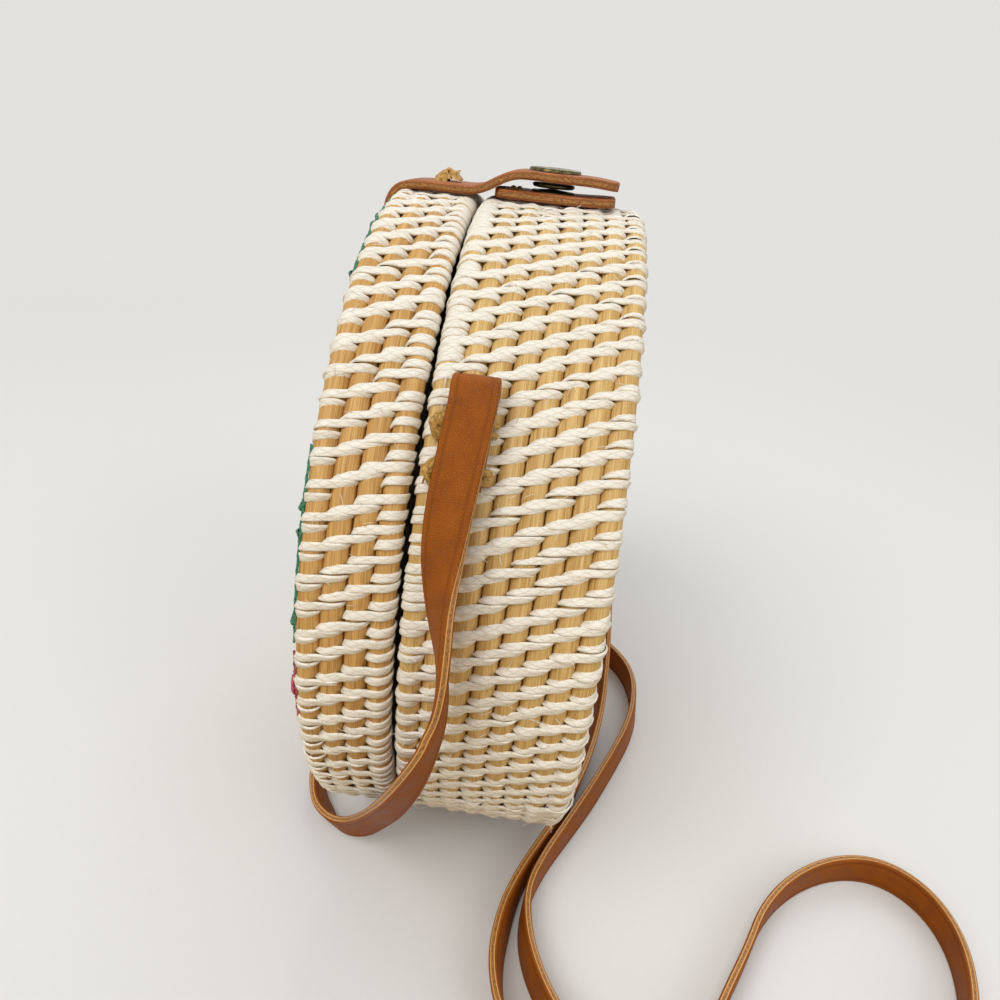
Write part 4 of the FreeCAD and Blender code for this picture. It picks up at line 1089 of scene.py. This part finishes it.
FLOWER_ANGLES = [-5, 108, 152, 213, 318]
LEAN_BACK_LEAVES = [8.5, 24.5, 60, 76, 122, 166, 182, 227, 243, 272, 288]
LEAN_ON_LEAVES = [16.5, 68, 130, 174, 190, 235, 280]
LEAF_LEAN = 24
STEMS = [(3, 28), (57, 80), (118, 134), (161, 195), (222, 248), (267, 293)]
STEM_RADIUS = 0.0981
STEM_STITCH = 2.6
STEM_WIDTH = 0.0008
STEM_LIFT = -0.0002
# Degrees to either side of a flower where red and crimson stitches show on the corner rod
FLOWER_EDGE = 6
WREATH_RADIUS = 0.088
LEAF_LENGTH = 0.022
LEAF_WIDTH = 0.007
LEAF_STITCHES = 24
LEAF_THREAD = 0.00085
PETALS = 5
PETAL_RING = 0.0068
PETAL_RADIUS = 0.0036
PETAL_STITCHES = 13
PETAL_THREAD = 0.0008
# Knots of a flower's eye: radius of their ring and how many there are, and a knot's three crossed stitches
EYE_KNOTS = ((0.0, 1), (0.0015, 7))
KNOT_CROSSES = (0.4, 1.5, 2.6)
KNOT_REACH = 0.0008
KNOT_THREAD = 0.0007


def thread(strips, first, last, lift, width, slot, rng):
    """One stitch of thread from point to point, arched off the lid's front and laid round its corner rod."""
    t = np.linspace(0, 1, 7)[:, None]
    flat = np.asarray(first) + np.subtract(last, first) * t
    radius = np.linalg.norm(flat, axis=1, keepdims=True)
    coil = bpy.context.scene.rattan_bag_weave.coil_diameter / 2
    beyond = np.clip(radius - (OUTER_RADIUS - coil), 0, 0.9 * coil)
    tilt = np.arcsin(beyond / coil)
    reach = coil + lift * np.sin(math.pi * np.clip(t, 0.03, 0.97)) ** 0.6
    out = np.concatenate([flat / radius * np.sin(tilt), -np.cos(tilt)], 1)[:, [0, 2, 1]]
    foot = np.concatenate([flat * (1 - beyond / radius), np.full_like(t, LID_LOW.y + coil)], 1)[:, [0, 2, 1]]
    line = foot + np.array([0, 0, AXIS_Z]) + out * reach
    ribbon(strips, line, out, width / 2, 0.75 * width, slot, rng.uniform(0, 3), columns=6)


def edge_stitches(strips, begin, end, slot, rng):
    """Short overlapping stitches along the lid's corner rod, between two angles."""
    for angle in np.arange(begin, end, 0.8 * STEM_STITCH):
        foot = (STEM_RADIUS - 0.0003) * arc(math.radians(angle))
        tip = (STEM_RADIUS + 0.0003) * arc(math.radians(angle + STEM_STITCH))
        thread(strips, foot, tip, STEM_LIFT, STEM_WIDTH, slot, rng)


def leaf(strips, angle, lean, rng):
    """A leaf of slanting stitches to either side of its middle line."""
    middle = WREATH_RADIUS * arc(angle)
    ahead = arc(lean)
    side = np.array([-ahead[1], ahead[0]])
    for flank in (-1, 1):
        for t in np.linspace(-0.95, 0.8, LEAF_STITCHES):
            far = min(t + 0.22, 0.99)
            edge = LEAF_WIDTH / 2 * (1 - far ** 2) * flank * rng.uniform(0.92, 1.05)
            foot = middle + ahead * t * LEAF_LENGTH / 2
            tip = middle + ahead * far * LEAF_LENGTH / 2 + side * edge
            thread(strips, foot, tip, 0.0007, LEAF_THREAD, 0, rng)


def flower(strips, turn, rng):
    """A flower of round petals, red with crimson tips, and an eye of yellow knots."""
    eye = WREATH_RADIUS * arc(turn)
    for i in range(PETALS):
        ahead = arc(turn + i * 2 * math.pi / PETALS)
        side = np.array([-ahead[1], ahead[0]])
        for s in np.linspace(-0.93, 0.93, PETAL_STITCHES):
            reach = PETAL_RING + PETAL_RADIUS * math.sqrt(1 - s ** 2) * rng.uniform(0.95, 1.04)
            root = eye + ahead * (PETAL_RING - 0.9 * PETAL_RADIUS) + side * s * PETAL_RADIUS * 0.5
            mid = eye + ahead * (0.45 * PETAL_RING + 0.55 * reach) + side * s * PETAL_RADIUS * 0.9
            tip = eye + ahead * reach + side * s * PETAL_RADIUS
            thread(strips, root, mid, 0.0006, PETAL_THREAD, 0, rng)
            thread(strips, mid, tip, 0.0007, PETAL_THREAD, 1, rng)
    for ring, knots in EYE_KNOTS:
        for k in range(knots):
            spot = eye + ring * arc(2 * math.pi * k / knots)
            for cross in KNOT_CROSSES:
                way = KNOT_REACH * arc(cross)
                thread(strips, spot - way, spot + way, 0.0008, KNOT_THREAD, 2, rng)


class RATTANBAG_OT_embroidery(bpy.types.Operator):
    """Stitches a wreath of leaves and flowers on the lid's front"""
    bl_idname = "rattan_bag.embroidery"
    bl_label = "Embroider the lid"

    def execute(self, context):
        colours = context.scene.rattan_bag_colours
        rng = np.random.default_rng(8)
        green, red, crimson, yellow = (twisted_thread("embroidery cotton, " + name, getattr(colours, name))
                                       for name in ("green", "red", "crimson", "yellow"))
        leaves = Strips()
        for angles, tilt in ((LEAN_BACK_LEAVES, -LEAF_LEAN), (LEAN_ON_LEAVES, LEAF_LEAN)):
            for angle in np.radians(angles):
                leaf(leaves, angle, angle + math.radians(tilt), rng)
        for begin, end in STEMS:
            edge_stitches(leaves, begin, end, 0, rng)
        settle(leaves.piece("embroidered_leaves", green), "lid", "green_thread", "embroidery_leaves")
        flowers = Strips()
        for angle in FLOWER_ANGLES:
            edge_stitches(flowers, angle, angle + FLOWER_EDGE, 0, rng)
            edge_stitches(flowers, angle - FLOWER_EDGE, angle, 1, rng)
            flower(flowers, math.radians(angle), rng)
        settle(flowers.piece("embroidered_flowers", red, crimson, yellow), "lid", "red_thread",
               "embroidery_flowers")
        return {"FINISHED"}


# Stage

# Area lamps: name, place, size and power in watts; all look at a point over the floor
LAMPS = (("key", (1.1, -0.7, 1.5), 1.2, 20.0), ("fill", (0.9, 1.3, 0.9), 1.4, 7.0),
         ("back", (-1.3, 0.3, 1.4), 1.2, 8.0))
LAMP_TARGET = Vector((0, 0, 0.1))
# Strength of the even light from all round
DIM_LIGHT = 0.5
# The floor is a disc, and between these distances from the bag it goes over into the backdrop
FLOOR_RADII = (12.0, 4.0, 1.0, 0.0)
FLOOR_NEAR = 0.3
FLOOR_FAR = 1.1
# Camera of the photograph: place in metres, turn in degrees, focal length and sensor width in millimetres
CAMERA_PLACE = (0.23674, 0.01713, 0.21547)
CAMERA_TURN = (64.246, -5.812, 95.669)
FOCAL_LENGTH = 27.04
SENSOR_WIDTH = 36


def seen_by_eye(tree):
    """One for what the camera sees, also by gloss or through glass, and zero for light on the bag."""
    rays = add(tree, "ShaderNodeLightPath").outputs
    straight = calc(tree, "MAXIMUM", rays["Is Camera Ray"], rays["Is Glossy Ray"])
    return calc(tree, "MAXIMUM", straight, rays["Is Transmission Ray"])


def studio_paper(name, colours):
    # Matte studio paper: even, without gloss
    finish, tree, shader = new_finish(name, {"Roughness": 0.9, "IOR": 1.45})
    place = add(tree, "ShaderNodeTexCoord").outputs["Object"]
    # Tooth of the paper 2 mm across
    tone = ramp(tree, noise(tree, place, 2.0, 0.002, dimensions="3D"), to_low=0.97)
    # The eye sees pale paper, and the bag gets the light of a darker, warmer one from below
    seen = seen_by_eye(tree)
    sheet = mix(tree, seen, colours.floor_bounce, colours.floor)
    tree.links.new(mix(tree, 1.0, sheet, tone, blend_type="MULTIPLY"), shader.inputs["Base Color"])
    spread = add(tree, "ShaderNodeVectorMath", {0: place}, operation="LENGTH").outputs["Value"]
    far = ramp(tree, spread, FLOOR_NEAR, FLOOR_FAR, interpolation_type="SMOOTHSTEP")
    glow = add(tree, "ShaderNodeEmission", {"Color": colours.backdrop, "Strength": 1.0})
    both = add(tree, "ShaderNodeMixShader", {0: calc(tree, "MULTIPLY", seen, far), 1: shader, 2: glow})
    tree.links.new(both.outputs[0], tree.nodes["Material Output"].inputs["Surface"])
    return finish


class RATTANBAG_OT_stage(bpy.types.Operator):
    """Sets the plain floor, the soft lights and the camera"""
    bl_idname = "rattan_bag.stage"
    bl_label = "Set the stage"

    def execute(self, context):
        scene = context.scene
        colours = scene.rattan_bag_colours
        strips = Strips()
        turned(strips, [(radius, 0.0) for radius in FLOOR_RADII], (0, 0, 0), segments=96)
        strips.piece("studio_floor", studio_paper("matte studio paper", colours))

        world = scene.world or bpy.data.worlds.new("studio")
        scene.world = world
        world.use_nodes = True
        tree = world.node_tree
        tree.nodes.clear()
        dim = add(tree, "ShaderNodeBackground", {"Color": (1, 1, 1, 1), "Strength": DIM_LIGHT})
        pale = add(tree, "ShaderNodeBackground", {"Color": colours.backdrop, "Strength": 1.0})
        both = add(tree, "ShaderNodeMixShader", {0: seen_by_eye(tree), 1: dim, 2: pale})
        add(tree, "ShaderNodeOutputWorld", {"Surface": both})

        for name, spot, size, power in LAMPS:
            lamp = bpy.data.lights.new(name, "AREA")
            lamp.size = size
            lamp.energy = power
            obj = bpy.data.objects.new(name, lamp)
            obj.location = spot
            obj.rotation_euler = (LAMP_TARGET - Vector(spot)).to_track_quat("-Z", "Y").to_euler()
            scene.collection.objects.link(obj)

        lens = bpy.data.cameras.new("photo_camera")
        lens.sensor_width = SENSOR_WIDTH
        lens.lens = FOCAL_LENGTH
        lens.clip_start = 0.01
        camera = bpy.data.objects.new("photo_camera", lens)
        camera.location = CAMERA_PLACE
        camera.rotation_euler = Euler([math.radians(angle) for angle in CAMERA_TURN])
        scene.collection.objects.link(camera)
        scene.camera = camera
        scene.view_settings.view_transform = "Standard"
        return {"FINISHED"}


class RATTANBAG_PT_sidebar(bpy.types.Panel):
    """Lists the bag's pieces, sizes and colours"""
    bl_label = "Round Rattan Bag"
    bl_idname = "RATTANBAG_PT_sidebar"
    bl_space_type = "VIEW_3D"
    bl_region_type = "UI"
    bl_category = "Rattan Bag"

    def draw(self, context):
        for operator in OPERATORS:
            self.layout.operator(operator.bl_idname)
        for group in (context.scene.rattan_bag_weave, context.scene.rattan_bag_leather,
                      context.scene.rattan_bag_colours):
            box = self.layout.box()
            for name in group.__annotations__:
                box.prop(group, name)


OPERATORS = (RATTANBAG_OT_stage, RATTANBAG_OT_strap, RATTANBAG_OT_weave, RATTANBAG_OT_lining,
             RATTANBAG_OT_closure, RATTANBAG_OT_snap, RATTANBAG_OT_ties, RATTANBAG_OT_embroidery)
CLASSES = (RattanBagWeave, RattanBagLeather, RattanBagColours) + OPERATORS + (RATTANBAG_PT_sidebar,)


def register():
    for each in CLASSES:
        bpy.utils.register_class(each)
    bpy.types.Scene.rattan_bag_weave = PointerProperty(type=RattanBagWeave)
    bpy.types.Scene.rattan_bag_leather = PointerProperty(type=RattanBagLeather)
    bpy.types.Scene.rattan_bag_colours = PointerProperty(type=RattanBagColours)


def unregister():
    del bpy.types.Scene.rattan_bag_colours
    del bpy.types.Scene.rattan_bag_leather
    del bpy.types.Scene.rattan_bag_weave
    for each in reversed(CLASSES):
        bpy.utils.unregister_class(each)


def main():
    register()
    bpy.ops.rattan_bag.stage()
    bpy.ops.rattan_bag.strap()
    bpy.ops.rattan_bag.weave()
    bpy.ops.rattan_bag.lining()
    bpy.ops.rattan_bag.closure()
    bpy.ops.rattan_bag.snap()
    bpy.ops.rattan_bag.ties()
    bpy.ops.rattan_bag.embroidery()


if __name__ == "__main__":
    main()
